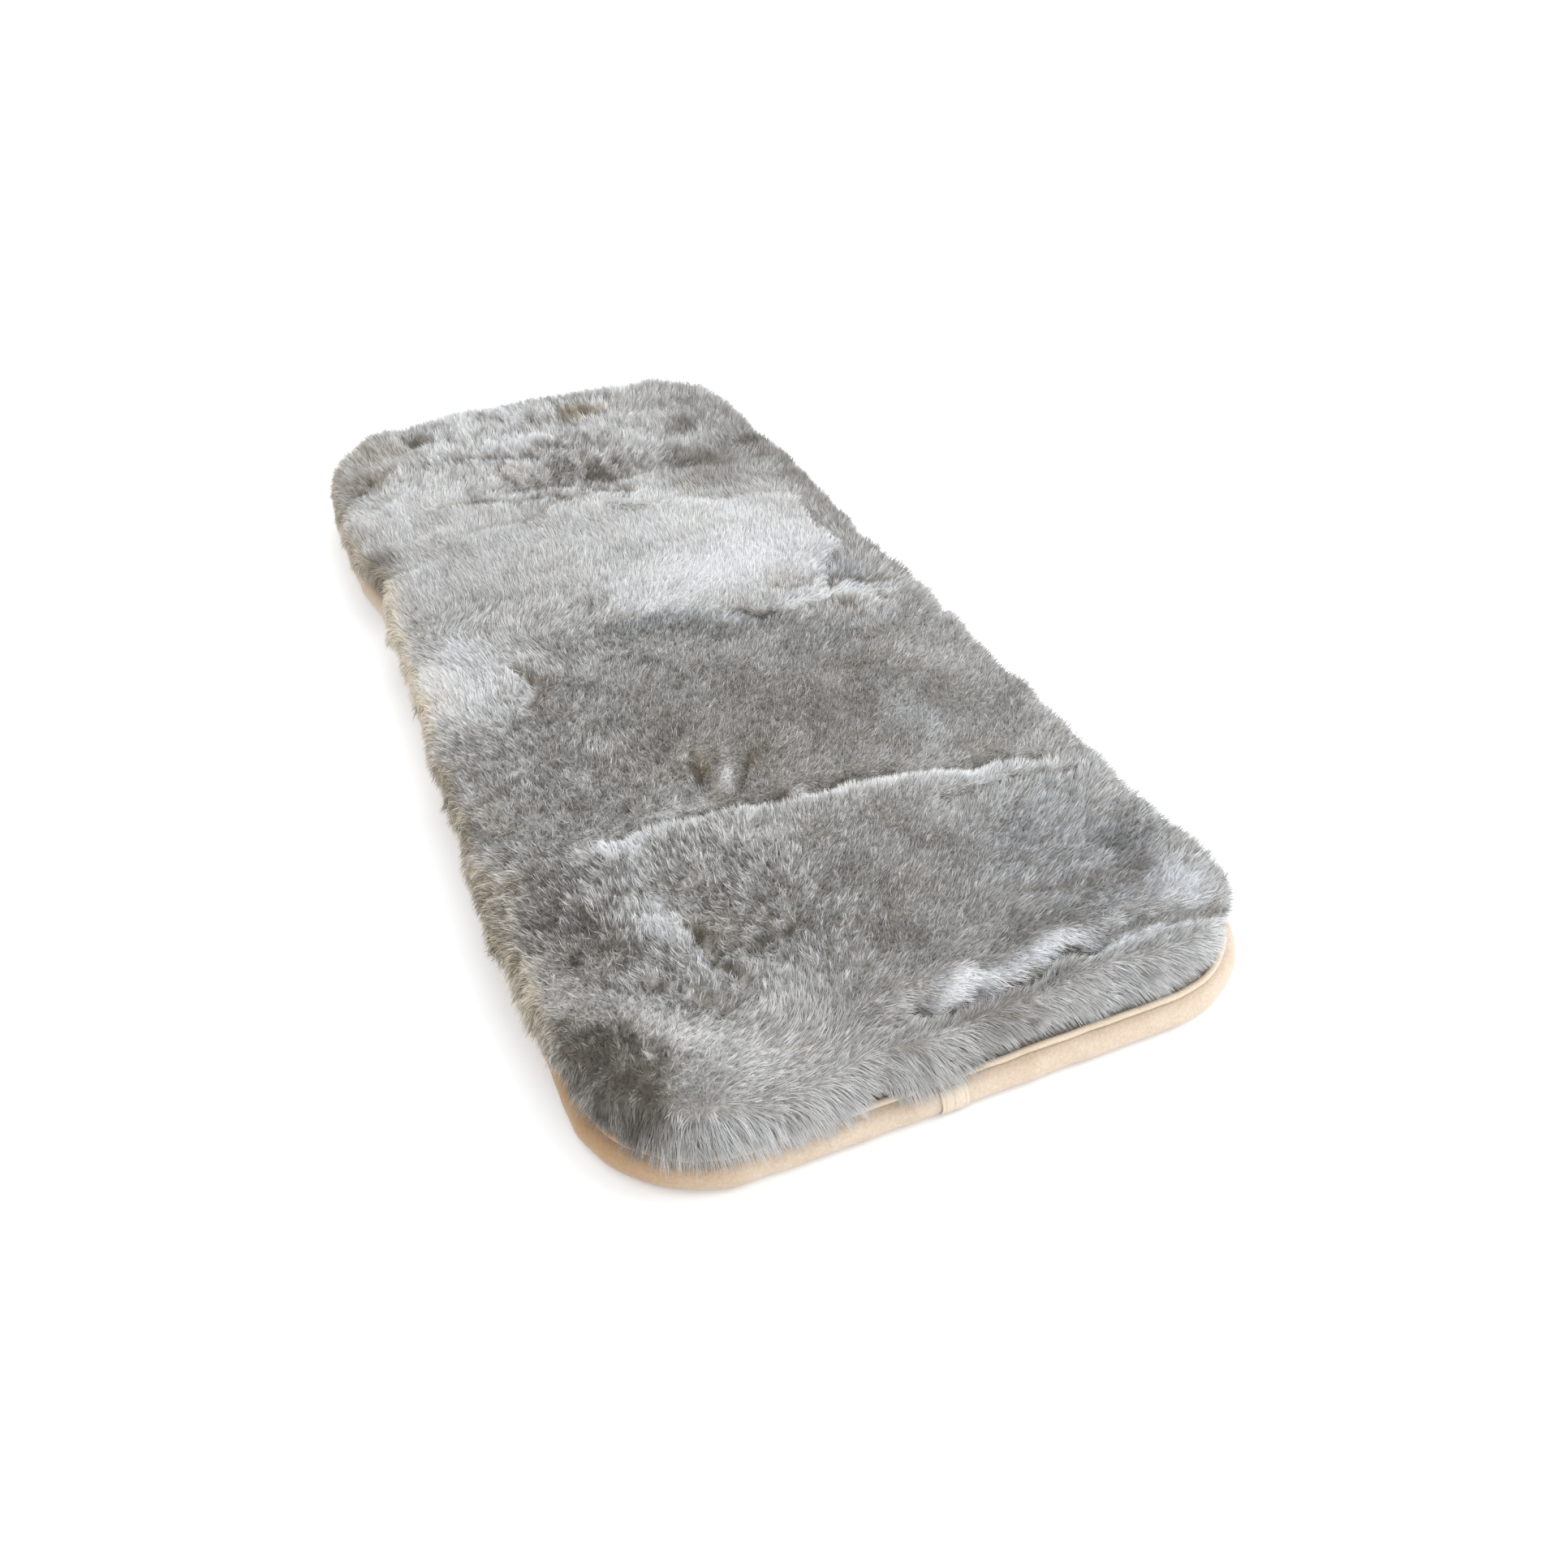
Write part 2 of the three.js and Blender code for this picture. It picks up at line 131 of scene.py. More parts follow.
class Finish:
    """A material with one Principled shader, whose constant values are set on its own sockets."""

    def __init__(self, name, **constants):
        self.material = bpy.data.materials.new(name)
        self.material.use_nodes = True
        self.tree = self.material.node_tree
        self.shader = self.tree.nodes["Principled BSDF"]
        for socket, value in constants.items():
            self.shader.inputs[socket.replace("_", " ")].default_value = value

    def fill(self, socket, value):
        if isinstance(value, Wire):
            self.tree.links.new(value.socket, socket)
        else:
            socket.default_value = value

    def node(self, kind, settings=None, *values, out=0, **named):
        made = self.tree.nodes.new(kind)
        for name, value in (settings or {}).items():
            setattr(made, name, value)
        for place, value in enumerate(values):
            self.fill(made.inputs[place], value)
        for name, value in named.items():
            self.fill(made.inputs[name.replace("_", " ")], value)
        return Wire(self, made.outputs[out])

    def ramp(self, factor, stops):
        """A colour ramp: stops are (place, colour) pairs, from dark to light."""
        ramp = self.node("ShaderNodeValToRGB", None, factor)
        band = ramp.socket.node.color_ramp
        for place, colour in stops[1:-1]:
            band.elements.new(place).color = (*colour, 1)
        ends = (band.elements[0], stops[0]), (band.elements[-1], stops[-1])
        for element, (place, colour) in ends:
            element.position = place
            element.color = (*colour, 1)
        return ramp

    def blend(self, factor, first, second, way="MIX"):
        """The Mix node for colours, whose sockets 6 and 7 are its two colours."""
        made = self.node("ShaderNodeMix", {"data_type": "RGBA", "blend_type": way}, factor, out=2)
        self.fill(made.socket.node.inputs[6], first)
        self.fill(made.socket.node.inputs[7], second)
        return made

    def tint(self, warmth):
        """One of the four wool tints, blended between whole numbers from 0 to 3."""
        last = len(WARMTHS) - 1
        return self.ramp(warmth / last, [(k / last, tint) for k, tint in enumerate(WARMTHS)])

    def noise(self, place, scale, detail=2.0, roughness=0.5):
        return self.node(
            "ShaderNodeTexNoise", None,
            Vector=place, Scale=scale, Detail=detail, Roughness=roughness,
        )

    def bump(self, height, distance, strength=1.0):
        return self.node(
            "ShaderNodeBump", None, Height=height, Distance=distance, Strength=strength
        )

    def shade(self, **sockets):
        for name, value in sockets.items():
            self.fill(self.shader.inputs[name.replace("_", " ")], value)
        return self.material


# %% [markdown]
# ## The studio
# The photo's background is blank. A pale floor catches a soft shadow, so that the liner lies on
# something. Big area lights give wool its softness. The strongest is on the right, where the
# cloth edge is brightest in the photo. Weaker ones from the top, the front and the left, and a
# bright sky, keep the shadows open.

# %% The floor and the lights
FLOOR_SIZE = 30.0
FLOOR_COLOUR = (0.9, 0.9, 0.9, 1)
LIGHTS = [
    {"name": "key", "place": (1.5, -0.6, 1.3), "size": 1.6, "watts": 30},
    {"name": "top", "place": (0.3, 0.9, 2.2), "size": 2.0, "watts": 16},
    {"name": "front", "place": (-0.5, -2.0, 0.8), "size": 1.6, "watts": 18},
    {"name": "left", "place": (-1.9, 0.7, 0.9), "size": 1.6, "watts": 7},
]
SKY_COLOUR = (0.96, 0.98, 1.0)
SKY_STRENGTH = 1.1


def make_floor():
    shape = bmesh.new()
    bmesh.ops.create_grid(shape, x_segments=2, y_segments=2, size=FLOOR_SIZE / 2)
    mesh = bpy.data.meshes.new("floor")
    shape.to_mesh(mesh)
    shape.free()
    floor = bpy.data.objects.new("floor", mesh)
    bpy.context.collection.objects.link(floor)
    paper = Finish("floor_paper", Roughness=0.9, Base_Color=FLOOR_COLOUR)
    mesh.materials.append(paper.material)


def make_lights():
    for row in LIGHTS:
        data = bpy.data.lights.new(row["name"], "AREA")
        data.size = row["size"]
        data.energy = row["watts"]
        light = bpy.data.objects.new(row["name"], data)
        light.location = row["place"]
        light.rotation_euler = Vector(row["place"]).to_track_quat("Z", "Y").to_euler()
        bpy.context.collection.objects.link(light)
    world = bpy.data.worlds.new("sky")
    world.use_nodes = True
    sky = world.node_tree.nodes["Background"]
    sky.inputs["Color"].default_value = (*SKY_COLOUR, 1)
    sky.inputs["Strength"].default_value = SKY_STRENGTH
    bpy.context.scene.world = world
    bpy.context.scene.view_settings.view_transform = "Standard"


make_floor()
make_lights()

# %% [markdown]
# ## Helpers for tables and noise
# The liner is uneven, and the unevenness has a place: a swell here, a parting there. Short tables
# hold those places, and the helpers below turn them into smooth numbers at any point. Sums of a
# few waves in chance directions make the soft randomness in between. Where the bed, the strands
# and their colour must wander alike, each throws dice that start from the same seed.

# %% Smooth randomness, eased tables, and distance to a line
FOLD_SEED, PATCH_SEED, MOTTLE_SEED = 3, 4, 5


def soft_noise(points, size, waves=14, dice=luck):
    """Values of about -1 to 1 that change over `size` metres, one for each point."""
    total = np.zeros(len(points))
    for _ in range(waves):
        way = dice.normal(size=3)
        way *= 2 * np.pi / (np.linalg.norm(way) * size * dice.uniform(1.4, 2.8))
        total += np.sin(points @ way + dice.uniform(0, 2 * np.pi))
    return total / math.sqrt(waves / 2)


def eased(at, stations, values):
    """Reads a table at each place, with an eased step from one station to the next."""
    stations = np.array(stations, float)
    values = np.array(values, float)
    next_row = np.clip(np.searchsorted(stations, at), 1, len(stations) - 1)
    share = (at - stations[next_row - 1]) / (stations[next_row] - stations[next_row - 1])
    share = np.clip(share, 0, 1)
    share = share * share * (3 - 2 * share)
    return values[next_row - 1] * (1 - share) + values[next_row] * share


def from_line(points, line):
    """Distance in mm to a line of (x, y) stops, positive on its foot side, and the way off it."""
    nearest = np.full(len(points), np.inf)
    way = np.zeros((len(points), 2))
    flat = points[:, :2] / MM
    for start, end in zip(line[:-1], line[1:]):
        span = np.subtract(end, start).astype(float)
        along = np.clip((flat - start) @ span / (span @ span), 0, 1)
        off = flat - (np.array(start, float) + along[:, None] * span)
        distance = np.maximum(np.hypot(off[:, 0], off[:, 1]), 1e-6)
        foot_side = span[0] * off[:, 1] - span[1] * off[:, 0] < 0
        closer = distance < np.abs(nearest)
        nearest[closer] = np.where(foot_side, distance, -distance)[closer]
        way[closer] = (off / distance[:, None])[closer]
    return nearest, way


# %% [markdown]
# ## The bed under the wool
# Wool strands need something to grow from that is dense and dark enough not to show as a gap. The
# CAD fleece has the right outline and folds, but its faces are a centimetre wide. A copy of it is
# merged, remeshed to even small faces and smoothed. Then it is sunk a few millimetres, because
# the strands bring the surface back to where the CAD has it.

# %% Folds, partings and dimples of the wool
# name, depth and width (mm), lean, lip, lip's side, then the line as (x, y) stops in mm
# Strands lean off the line, or over it where the lean is below zero. The lip is a painted
# highlight, a lighter band on the foot side (1) or the head side (-1) of a line that runs to the
# right. A depth below zero is a swell.
FOLD_COLUMNS = ("name", "depth", "width", "lean", "lip", "lip_side", "line")
FOLDS = [dict(zip(FOLD_COLUMNS, row)) for row in (
    ("seat fold", 6.0, 4.0, -0.6, 0.26, 1,
     [(-101, -197), (-80, -192), (-60, -192), (-34, -193), (-1, -201), (15, -204)]),
    ("seat fold right", 5.0, 4.5, -0.5, 0.32, 1,
     [(7, -196), (45, -206), (66, -215), (98, -220), (123, -230)]),
    ("seat fold branch", 5.0, 3.0, -0.5, 0.22, -1,
     [(63, -244), (81, -240), (114, -246), (132, -249)]),
    ("seat fold end", -6.0, 9.0, 0.0, 0.0, 1, [(-172, -181), (-116, -194)]),
    ("foot fold left", 8.5, 3.6, -0.5, 0.46, -1, [(-16, -364), (-4, -371), (15, -366)]),
    ("foot fold middle", 8.5, 3.6, -0.4, 0.42, -1,
     [(15, -365), (41, -365), (57, -360), (71, -361)]),
    ("foot fold right", 6.0, 3.0, 0.4, 0.38, 1,
     [(69, -361), (84, -357), (101, -358), (126, -363), (140, -363)]),
    ("leg parting", 8.5, 3.2, 1.2, 0.3, 1, [(-88, -272), (-84, -288), (-84, -304), (-80, -320)]),
    ("leg cross parting", 8.5, 2.4, 0.9, 0.1, 1, [(-80, -291), (-63, -296), (-46, -298)]),
    ("leg low parting", 6.0, 3.0, 1.0, 0.24, -1,
     [(-117, -302), (-107, -313), (-98, -325), (-92, -334)]),
    ("left dimple", 9.0, 2.4, 0.6, 0.45, 1, [(-43, -151), (-42, -158), (-46, -167)]),
    ("right dimple", 5.0, 2.4, 0.5, 0.1, 1, [(-14, -159), (-20, -167), (-27, -181)]),
    ("dimple groove", 3.0, 3.6, 0.4, 0.0, 1, [(-33, -156), (-37, -171), (-42, -187)]),
    ("left rim crease", 5.0, 2.5, 0.4, 0.18, 1, [(-174, -202), (-158, -210)]),
    ("neck fold", 6.5, 4.0, 0.5, 0.12, 1,
     [(-97, 224), (-65, 219), (-46, 204), (-23, 201), (3, 193), (30, 183)]),
    ("neck lower edge", 2.6, 4.5, 0.3, 0.14, 1,
     [(-46, 245), (-31, 231), (-15, 221), (8, 203), (34, 190)]),
    ("neck left crease", 2.5, 4.0, 0.3, 0.08, 1, [(-141, 242), (-120, 253), (-100, 251)]),
    ("puff edge", 5.5, 4.0, -0.4, 0.3, -1,
     [(30, -6), (38, -12), (52, -28), (66, -32), (88, -29), (112, -23), (126, -45)]),
    ("oval edge", 3.0, 3.0, 0.3, 0.2, 1, [(70, 11), (78, -1), (88, -4), (97, 4)]),
    ("leg right hollow", 3.0, 5.0, 0.3, 0.0, 1, [(55, -320), (83, -328), (109, -334), (120, -328)]),
    ("neck second line", 4.5, 2.6, 0.5, 0.12, 1,
     [(-92, 168), (-60, 171), (-36, 173), (-25, 184), (-11, 189)]),
    ("shoulder fold", 1.8, 3.6, 0.3, 0.12, 1,
     [(-11, 189), (34, 156), (72, 141), (105, 135), (131, 116)]),
    ("light border", 3.0, 3.6, -0.3, 0.08, 1,
     [(133, 110), (130, 73), (132, 35), (110, 17), (99, -13)]),
    ("puff border", 4.0, 3.0, 0.4, 0.12, 1, [(101, -13), (111, -2), (137, -25)]),
    ("waist line right", 2.0, 1.7, 0.2, 0.04, 1, [(88, -84), (107, -80), (129, -80), (184, -47)]),
    ("waist line", 2.0, 1.8, 0.2, 0.04, 1,
     [(-11, -70), (14, -82), (22, -98), (29, -109), (46, -118)]),
    ("waist short line", 2.0, 2.0, 0.2, 0.0, 1, [(77, -96), (70, -128)]),
    ("left wedge line", 6.5, 3.4, 0.5, 0.2, 1, [(-103, -12), (-99, -28), (-97, -42), (-106, -66)]),
    ("head crease", 6.5, 4.0, 0.4, 0.12, 1, [(-52, 287), (-33, 275), (-15, 269)]),
    ("head left fold", 5.0, 3.4, 0.3, 0.14, 1, [(-167, 259), (-150, 273), (-119, 297)]),
    ("head notch", 6.0, 4.5, 0.4, 0.1, 1, [(-93, 372), (-93, 356), (-92, 341)]),
    ("left nick fold", 4.5, 3.0, 0.2, 0.08, 1, [(-175, 155), (-159, 148), (-135, 135)]),
)]
# How far the folds stray from their lines: the size of a wave (mm), and its reach (mm).
FOLD_WANDER = [(16, 1.5), (5, 0.9)]
WANDERING_WIDTH = 3.5


def fold_shares(points):
    """For each fold: its row, the distance to it in its own widths, and the way off it."""
    dice = np.random.default_rng(FOLD_SEED)
    wander = sum(soft_noise(points, size * MM, dice=dice) * reach for size, reach in FOLD_WANDER)
    for fold in FOLDS:
        distance, way = from_line(points, fold["line"])
        strayed = distance + wander * min(1, fold["width"] / WANDERING_WIDTH)
        yield fold, strayed / fold["width"], way


# %% The bed itself
BED_FACE = 4.6 * MM
MERGE_DISTANCE = 0.01 * MM
TOP_SINK = 3.4 * MM
WALL_SINK = 4.8 * MM
FOLD_SINK = 0.7 * MM
FULL_SINK_HEIGHT = 6 * MM
LUMP_SIZE = 14 * MM
LUMP_SHARE = 0.22
SEWN_FACE = BACKING_THICKNESS + GAP
PIPING_TOP = SEWN_FACE + 3.4 * MM
OVERHANG_REACH = 7.6 * MM
OVERHANG_HEIGHT = 9 * MM
TRIM_DEPTH = 3.5 * MM

# Along x at the foot, along y at its left corner, and along y on the left wall, in mm.
FOOT_OVERHANG = [
    (-102, 1), (-70, 1), (-55, 0.8), (-43, 0.1), (-31, 0.9),
    (-10, 1), (2, 0.6), (12, 0.2), (115, 0.2),
]
CORNER_OVERHANG = [(-390, 1), (-368, 1), (-345, 0.75), (-315, 0.35), (-285, 0)]
LEFT_TRIM = [(-375, 0), (-350, 0.5), (-318, 0.6), (-285, 0.2), (-250, 0)]
FOOT_EDGE = 366
CORNER_X, CORNER_Y, CORNER_REACH = -102, -325, 40
OVERHANG_FADE = 10


def overhang(points):
    """From 0 to 1, how far wool reaches over the roll at the foot and its left corner."""
    x, y = points[:, 0] / MM, points[:, 1] / MM
    at_foot = np.clip((-y - FOOT_EDGE) / OVERHANG_FADE, 0, 1) * eased(x, *zip(*FOOT_OVERHANG))
    from_corner = np.hypot(np.minimum(x - CORNER_X, 0), np.minimum(y - CORNER_Y, 0))
    at_corner = np.clip((from_corner - CORNER_REACH) / OVERHANG_FADE, 0, 1)
    at_corner = at_corner * eased(y, *zip(*CORNER_OVERHANG))
    return np.maximum(at_foot, np.where(x < CORNER_X, at_corner, 0))


def left_trim(points, normals):
    """From 0 to 1, how much shorter the wool is on the left wall, next to the foot's corner."""
    return np.clip(-1.5 * normals[:, 0] - 0.1, 0, 1) * eased(points[:, 1] / MM, *zip(*LEFT_TRIM))


def new_piece(name, shape):
    """Ends a bmesh and makes it an object at the origin."""
    mesh = bpy.data.meshes.new(name)
    shape.to_mesh(mesh)
    shape.free()
    piece = bpy.data.objects.new(name, mesh)
    bpy.context.collection.objects.link(piece)
    return piece


def vertex_places(mesh):
    places = np.empty(len(mesh.vertices) * 3)
    mesh.vertices.foreach_get("co", places)
    return places.reshape(-1, 3)


def vertex_normals(mesh):
    normals = np.empty(len(mesh.vertices) * 3)
    mesh.vertex_normals.foreach_get("vector", normals)
    return normals.reshape(-1, 3)


def settle_modifiers(piece):
    """Replaces the mesh with what its modifiers make of it."""
    ready = piece.evaluated_get(bpy.context.evaluated_depsgraph_get())
    mesh = bpy.data.meshes.new_from_object(ready)
    piece.modifiers.clear()
    piece.data = mesh


def make_bed():
    shape = bmesh.new()
    shape.from_mesh(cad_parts["fleece"].data)
    bmesh.ops.remove_doubles(shape, verts=shape.verts[:], dist=MERGE_DISTANCE)
    bed = new_piece("fleece_bed", shape)
    remesh = bed.modifiers.new("even faces", "REMESH")
    remesh.mode = "VOXEL"
    remesh.voxel_size = BED_FACE
    soften = bed.modifiers.new("soften", "SMOOTH")
    soften.factor = 0.5
    soften.iterations = 4
    settle_modifiers(bed)
    mesh = bed.data
    places = vertex_places(mesh)
    normals = vertex_normals(mesh)
    above = np.clip((places[:, 2] - SEWN_FACE) / FULL_SINK_HEIGHT, 0, 1)
    wall = np.clip(1 - normals[:, 2], 0, 1)
    lumps = 1 + LUMP_SHARE * soft_noise(places, LUMP_SIZE)
    sink = (TOP_SINK + (WALL_SINK - TOP_SINK) * wall) * above * lumps
    sink += TRIM_DEPTH * left_trim(places, normals)
    for fold, off, _ in fold_shares(places):
        sink += FOLD_SINK * fold["depth"] * np.exp(-off ** 2) * np.clip(normals[:, 2], 0, 1)
    places -= normals * sink[:, None]
    places[:, 2] = np.maximum(places[:, 2], SEWN_FACE)
    # The wool swells out most a little above the piping, and lies on it where it does.
    swell = overhang(places) * np.exp(-((places[:, 2] - PIPING_TOP) / OVERHANG_HEIGHT - 0.4) ** 2)
    places[:, :2] += normals[:, :2] * (OVERHANG_REACH * swell)[:, None]
    places[:, 2] = np.where(swell > 0.3, np.maximum(places[:, 2], PIPING_TOP), places[:, 2])
    mesh.vertices.foreach_set("co", places.ravel())
    mesh.update()
    mesh.shade_smooth()
    return bed


bed = make_bed()
print("bed faces", len(bed.data.polygons))

# %% [markdown]
# ## Where the wool is light and dark
# A sheared lambskin has one colour of grey, but it looks light where the strands lie over and dark
# where one looks between them. In the photo those places are broad: a light band over the upper
# middle, a dark seat, mottled ends. Each row below is one such place, an oval with soft edges.

# %% Patches of painted light and shade, and of warm and cool wool
BASE_TONE = 0.58
BASE_WARMTH = 1.1
WARMTH_WANDER = 0.07
WARMTH_SIZE = 18 * MM
RAGGED_SIZE = 10 * MM
# The lighter and darker amounts paint light and shade into the wool's colour: mostly painted sheen
# where strands lie over and painted shade where one looks between them, with a few marks of the
# wool's own.
# name, x and y of its middle, half width, half length (mm), turn (degrees), lighter by, warmer by
PATCHES = [
    ("light back", 46, 87, 85, 66, 12, 0.24, 0),
    ("light back left", -94, 138, 80, 80, 0, 0.1, 0),
    ("light back top", 18, 168, 34, 20, 0, 0.24, 0),
    ("light back middle", -24, 105, 60, 60, 0, -0.02, 0),
    ("light waist right", 96, 36, 34, 44, 0, 0.22, -0.3),
    ("light waist middle", 24, 34, 50, 29, 0, 0.24, -0.2),
    ("light waist tuft", 1, 14, 15, 14, 0, 0.2, 0),
    ("light left wedge", -135, -8, 25, 64, 10, 0.29, -0.1),
    ("light left wedge top", -147, 44, 18, 40, 0, -0.1, -0.1),
    ("left back shade", -152, 166, 14, 16, 0, -0.45, 0.6),
    ("back shade", 6, 89, 24, 15, 0, -0.17, -0.2),
    ("back faint shade", -98, 74, 26, 22, 0, -0.1, 0),
    ("light neck left", -113, 239, 60, 40, 0, 0.18, 0),
    ("light neck", -65, 255, 26, 20, 0, -0.02, 0),
    ("light head", -21, 334, 70, 36, 0, 0.2, 0),
    ("light head middle", -21, 312, 24, 20, 0, 0.15, -0.2),
    ("light head right", 82, 314, 20, 44, 0, 0.09, 0),
    ("head edge light", -55, 384, 80, 16, 0, 0.38, 0),
    ("head edge light right", 60, 380, 60, 16, 0, 0.16, 0),
    ("left rim light upper", -157, 86, 12, 50, 0, 0.24, 0.3),
    ("left rim light lower", -157, -20, 13, 60, 0, 0.22, 0.2),
    ("head brown mark", 38, 339, 16, 13, -20, -0.38, 1.8),
    ("head brown mark two", 57, 341, 14, 7, 0, -0.01, 1.2),
    ("head dark mark", 76, 339, 7, 12, 0, -0.12, 0.4),
    ("head dark speck", 1, 340, 12, 8, 0, -0.31, 0),
    ("head dark left", -74, 349, 16, 15, 0, -0.13, 0),
    ("head left knob", -121, 332, 24, 28, 0, -0.03, 1.2),
    ("head left dark", -138, 289, 17, 18, 40, -0.18, 1.1),
    ("head smudge", -38, 278, 15, 4, 5, -0.14, 0),
    ("neck dark left", -45, 247, 18, 12, 40, 0.09, 0.2),
    ("neck dark", -3, 235, 30, 18, -20, -0.06, 0.3),
    ("neck darkest", 24, 223, 18, 14, -35, -0.45, 0.4),
    ("neck dark top", 6, 250, 18, 14, 0, -0.08, 0.2),
    ("light neck right", 60, 270, 14, 28, 0, 0.15, 0),
    ("neck dark right", 102, 266, 12, 18, 0, -0.45, 0),
    ("neck dark right low", 91, 206, 30, 22, -15, -0.42, 0.2),
    ("neck slope", 90, 166, 32, 14, -18, -0.24, 0.4),
    ("neck slope right", 122, 190, 22, 20, 0, -0.24, 0.3),
    ("right side", 150, 244, 24, 120, 0, -0.19, 0.2),
    ("right side top", 120, 298, 22, 40, 0, -0.14, 0.1),
    ("right side middle", 152, 89, 14, 120, 0, -0.27, 0.3),
    ("oval mark", 84, 13, 12, 8, 0, -0.2, 0.9),
    ("dark beside oval", 116, 7, 15, 26, -15, -0.25, -0.8),
    ("light puff", 116, -24, 24, 11, -18, 0.45, -0.2),
    ("light tufts", 72, -18, 22, 12, 0, 0.16, 0),
    ("brown under puff", 99, -48, 8, 12, 0, -0.27, 0.8),
    ("waist dark blue", -16, -4, 34, 14, 0, -0.17, -0.7),
    ("waist dark blue right", 34, -32, 44, 14, -12, -0.27, -0.9),
    ("waist dark", -52, -34, 34, 24, 0, -0.04, 0),
    ("waist dark right", 80, -68, 50, 10, 5, -0.07, -0.5),
    ("seat dark", 6, -128, 130, 68, 0, -0.18, 0.2),
    ("seat dark middle", -42, -147, 40, 40, 0, 0.03, 0.2),
    ("seat light patch", 81, -166, 18, 26, 0, 0.15, -0.6),
    ("seat right", 123, -119, 26, 44, 0, 0.07, 0.1),
    ("seat marks", 57, -185, 16, 7, -20, -0.14, 0.3),
    ("dimple light", -27, -169, 5, 13, -29, 0.62, 0),
    ("seat lip light", -78, -195, 26, 10, 12, 0.42, -0.1),
    ("seat lip light middle", -28, -199, 16, 9, 0, 0.24, 0),
    ("seat lip light left", -94, -204, 16, 7, 12, 0.45, -0.2),
    ("seat lip light right", 42, -213, 40, 10, -12, 0.24, 0.2),
    ("leg step light", 97, -232, 36, 10, -6, 0.12, -0.2),
    ("leg dark left", -136, -252, 18, 50, 8, -0.3, 0.2),
    ("leg dark tuft", -32, -239, 18, 12, 30, 0.08, 0.2),
    ("leg dark tuft two", -62, -246, 14, 14, 0, -0.09, 0.2),
    ("leg light left", -94, -228, 24, 12, 0, -0.11, -0.3),
    ("leg light tuft", -98, -264, 8, 15, 0, 0.4, -0.2),
    ("leg plain", 7, -287, 60, 60, 0, -0.17, 0),
    ("rim light strip", -127, -322, 14, 60, 38, 0.29, 0.2),
    ("rim light left", -166, -236, 14, 70, 0, -0.04, 0.4),
    ("dark corner", -147, -345, 20, 40, 8, -0.45, 0.6),
    ("foot light", -74, -357, 50, 12, -10, 0.0, 0.1),
    ("foot light low", -30, -356, 40, 18, 0, -0.1, 0),
    ("foot light puff", 38, -351, 26, 9, 10, -0.2, -0.5),
    ("foot fringe left", -4, -362, 18, 5, 0, 0.22, -0.3),
    ("foot fringe", 33, -361, 24, 5, 2, 0.28, -0.5),
    ("foot fringe right", 97, -361, 42, 5, -4, 0.24, -0.4),
    ("foot shade", 15, -376, 28, 8, 0, -0.2, 0.1),
    ("leg shade low", 60, -342, 24, 10, 0, -0.14, 0),
    ("leg cool right", 95, -307, 50, 60, 0, -0.09, -0.8),
    ("leg dark right", 121, -312, 10, 22, 10, -0.23, -0.3),
    ("leg light right", 128, -345, 14, 16, 0, 0.2, -0.6),
    ("leg shade right", 84, -327, 20, 12, 0, -0.03, 0.2),
]
# The edge of each patch strays like the folds: the size of a wave (mm), and its reach (mm).
PATCH_WANDER = [(22, 2.0), (7, 1.8)]
# On the left wall a painted warm reflection turns the wool tan, and painted shade makes it a little
# darker. At the foot's corner it stays grey.
RIM_PAINTED_REFLECTION = 2.1
RIM_SHADE = 0.04
GREY_CORNER_Y, GREY_CORNER_FADE = -340, 60
# Spots all over: their size (mm), and how much lighter or darker they are. At the head end
# they are longer and stronger.
MOTTLE = [(14, 0.03), (6, 0.04), (3.5, 0.03)]
HEAD_MOTTLE = 1.3
HEAD_Y, HEAD_FADE = 140, 60
# How much painted shade darkens a fold for each mm of its depth.
FOLD_SHADE = 0.06


def patch_shares(points):
    """For each patch: its row and how much of it there is at each point, with ragged edges."""
    dice = np.random.default_rng(PATCH_SEED)
    x, y = points[:, 0] / MM, points[:, 1] / MM
    for strayed in (x, y):
        for size, reach in PATCH_WANDER:
            strayed += reach * soft_noise(points, size * MM, dice=dice)
    for row in PATCHES:
        _, mid_x, mid_y, half_width, half_length, degrees, _, _ = row
        turn = math.radians(degrees)
        across = ((x - mid_x) * math.cos(turn) + (y - mid_y) * math.sin(turn)) / half_width
        along = ((y - mid_y) * math.cos(turn) - (x - mid_x) * math.sin(turn)) / half_length
        yield row, np.exp(-(across ** 2 + along ** 2) ** 1.5)


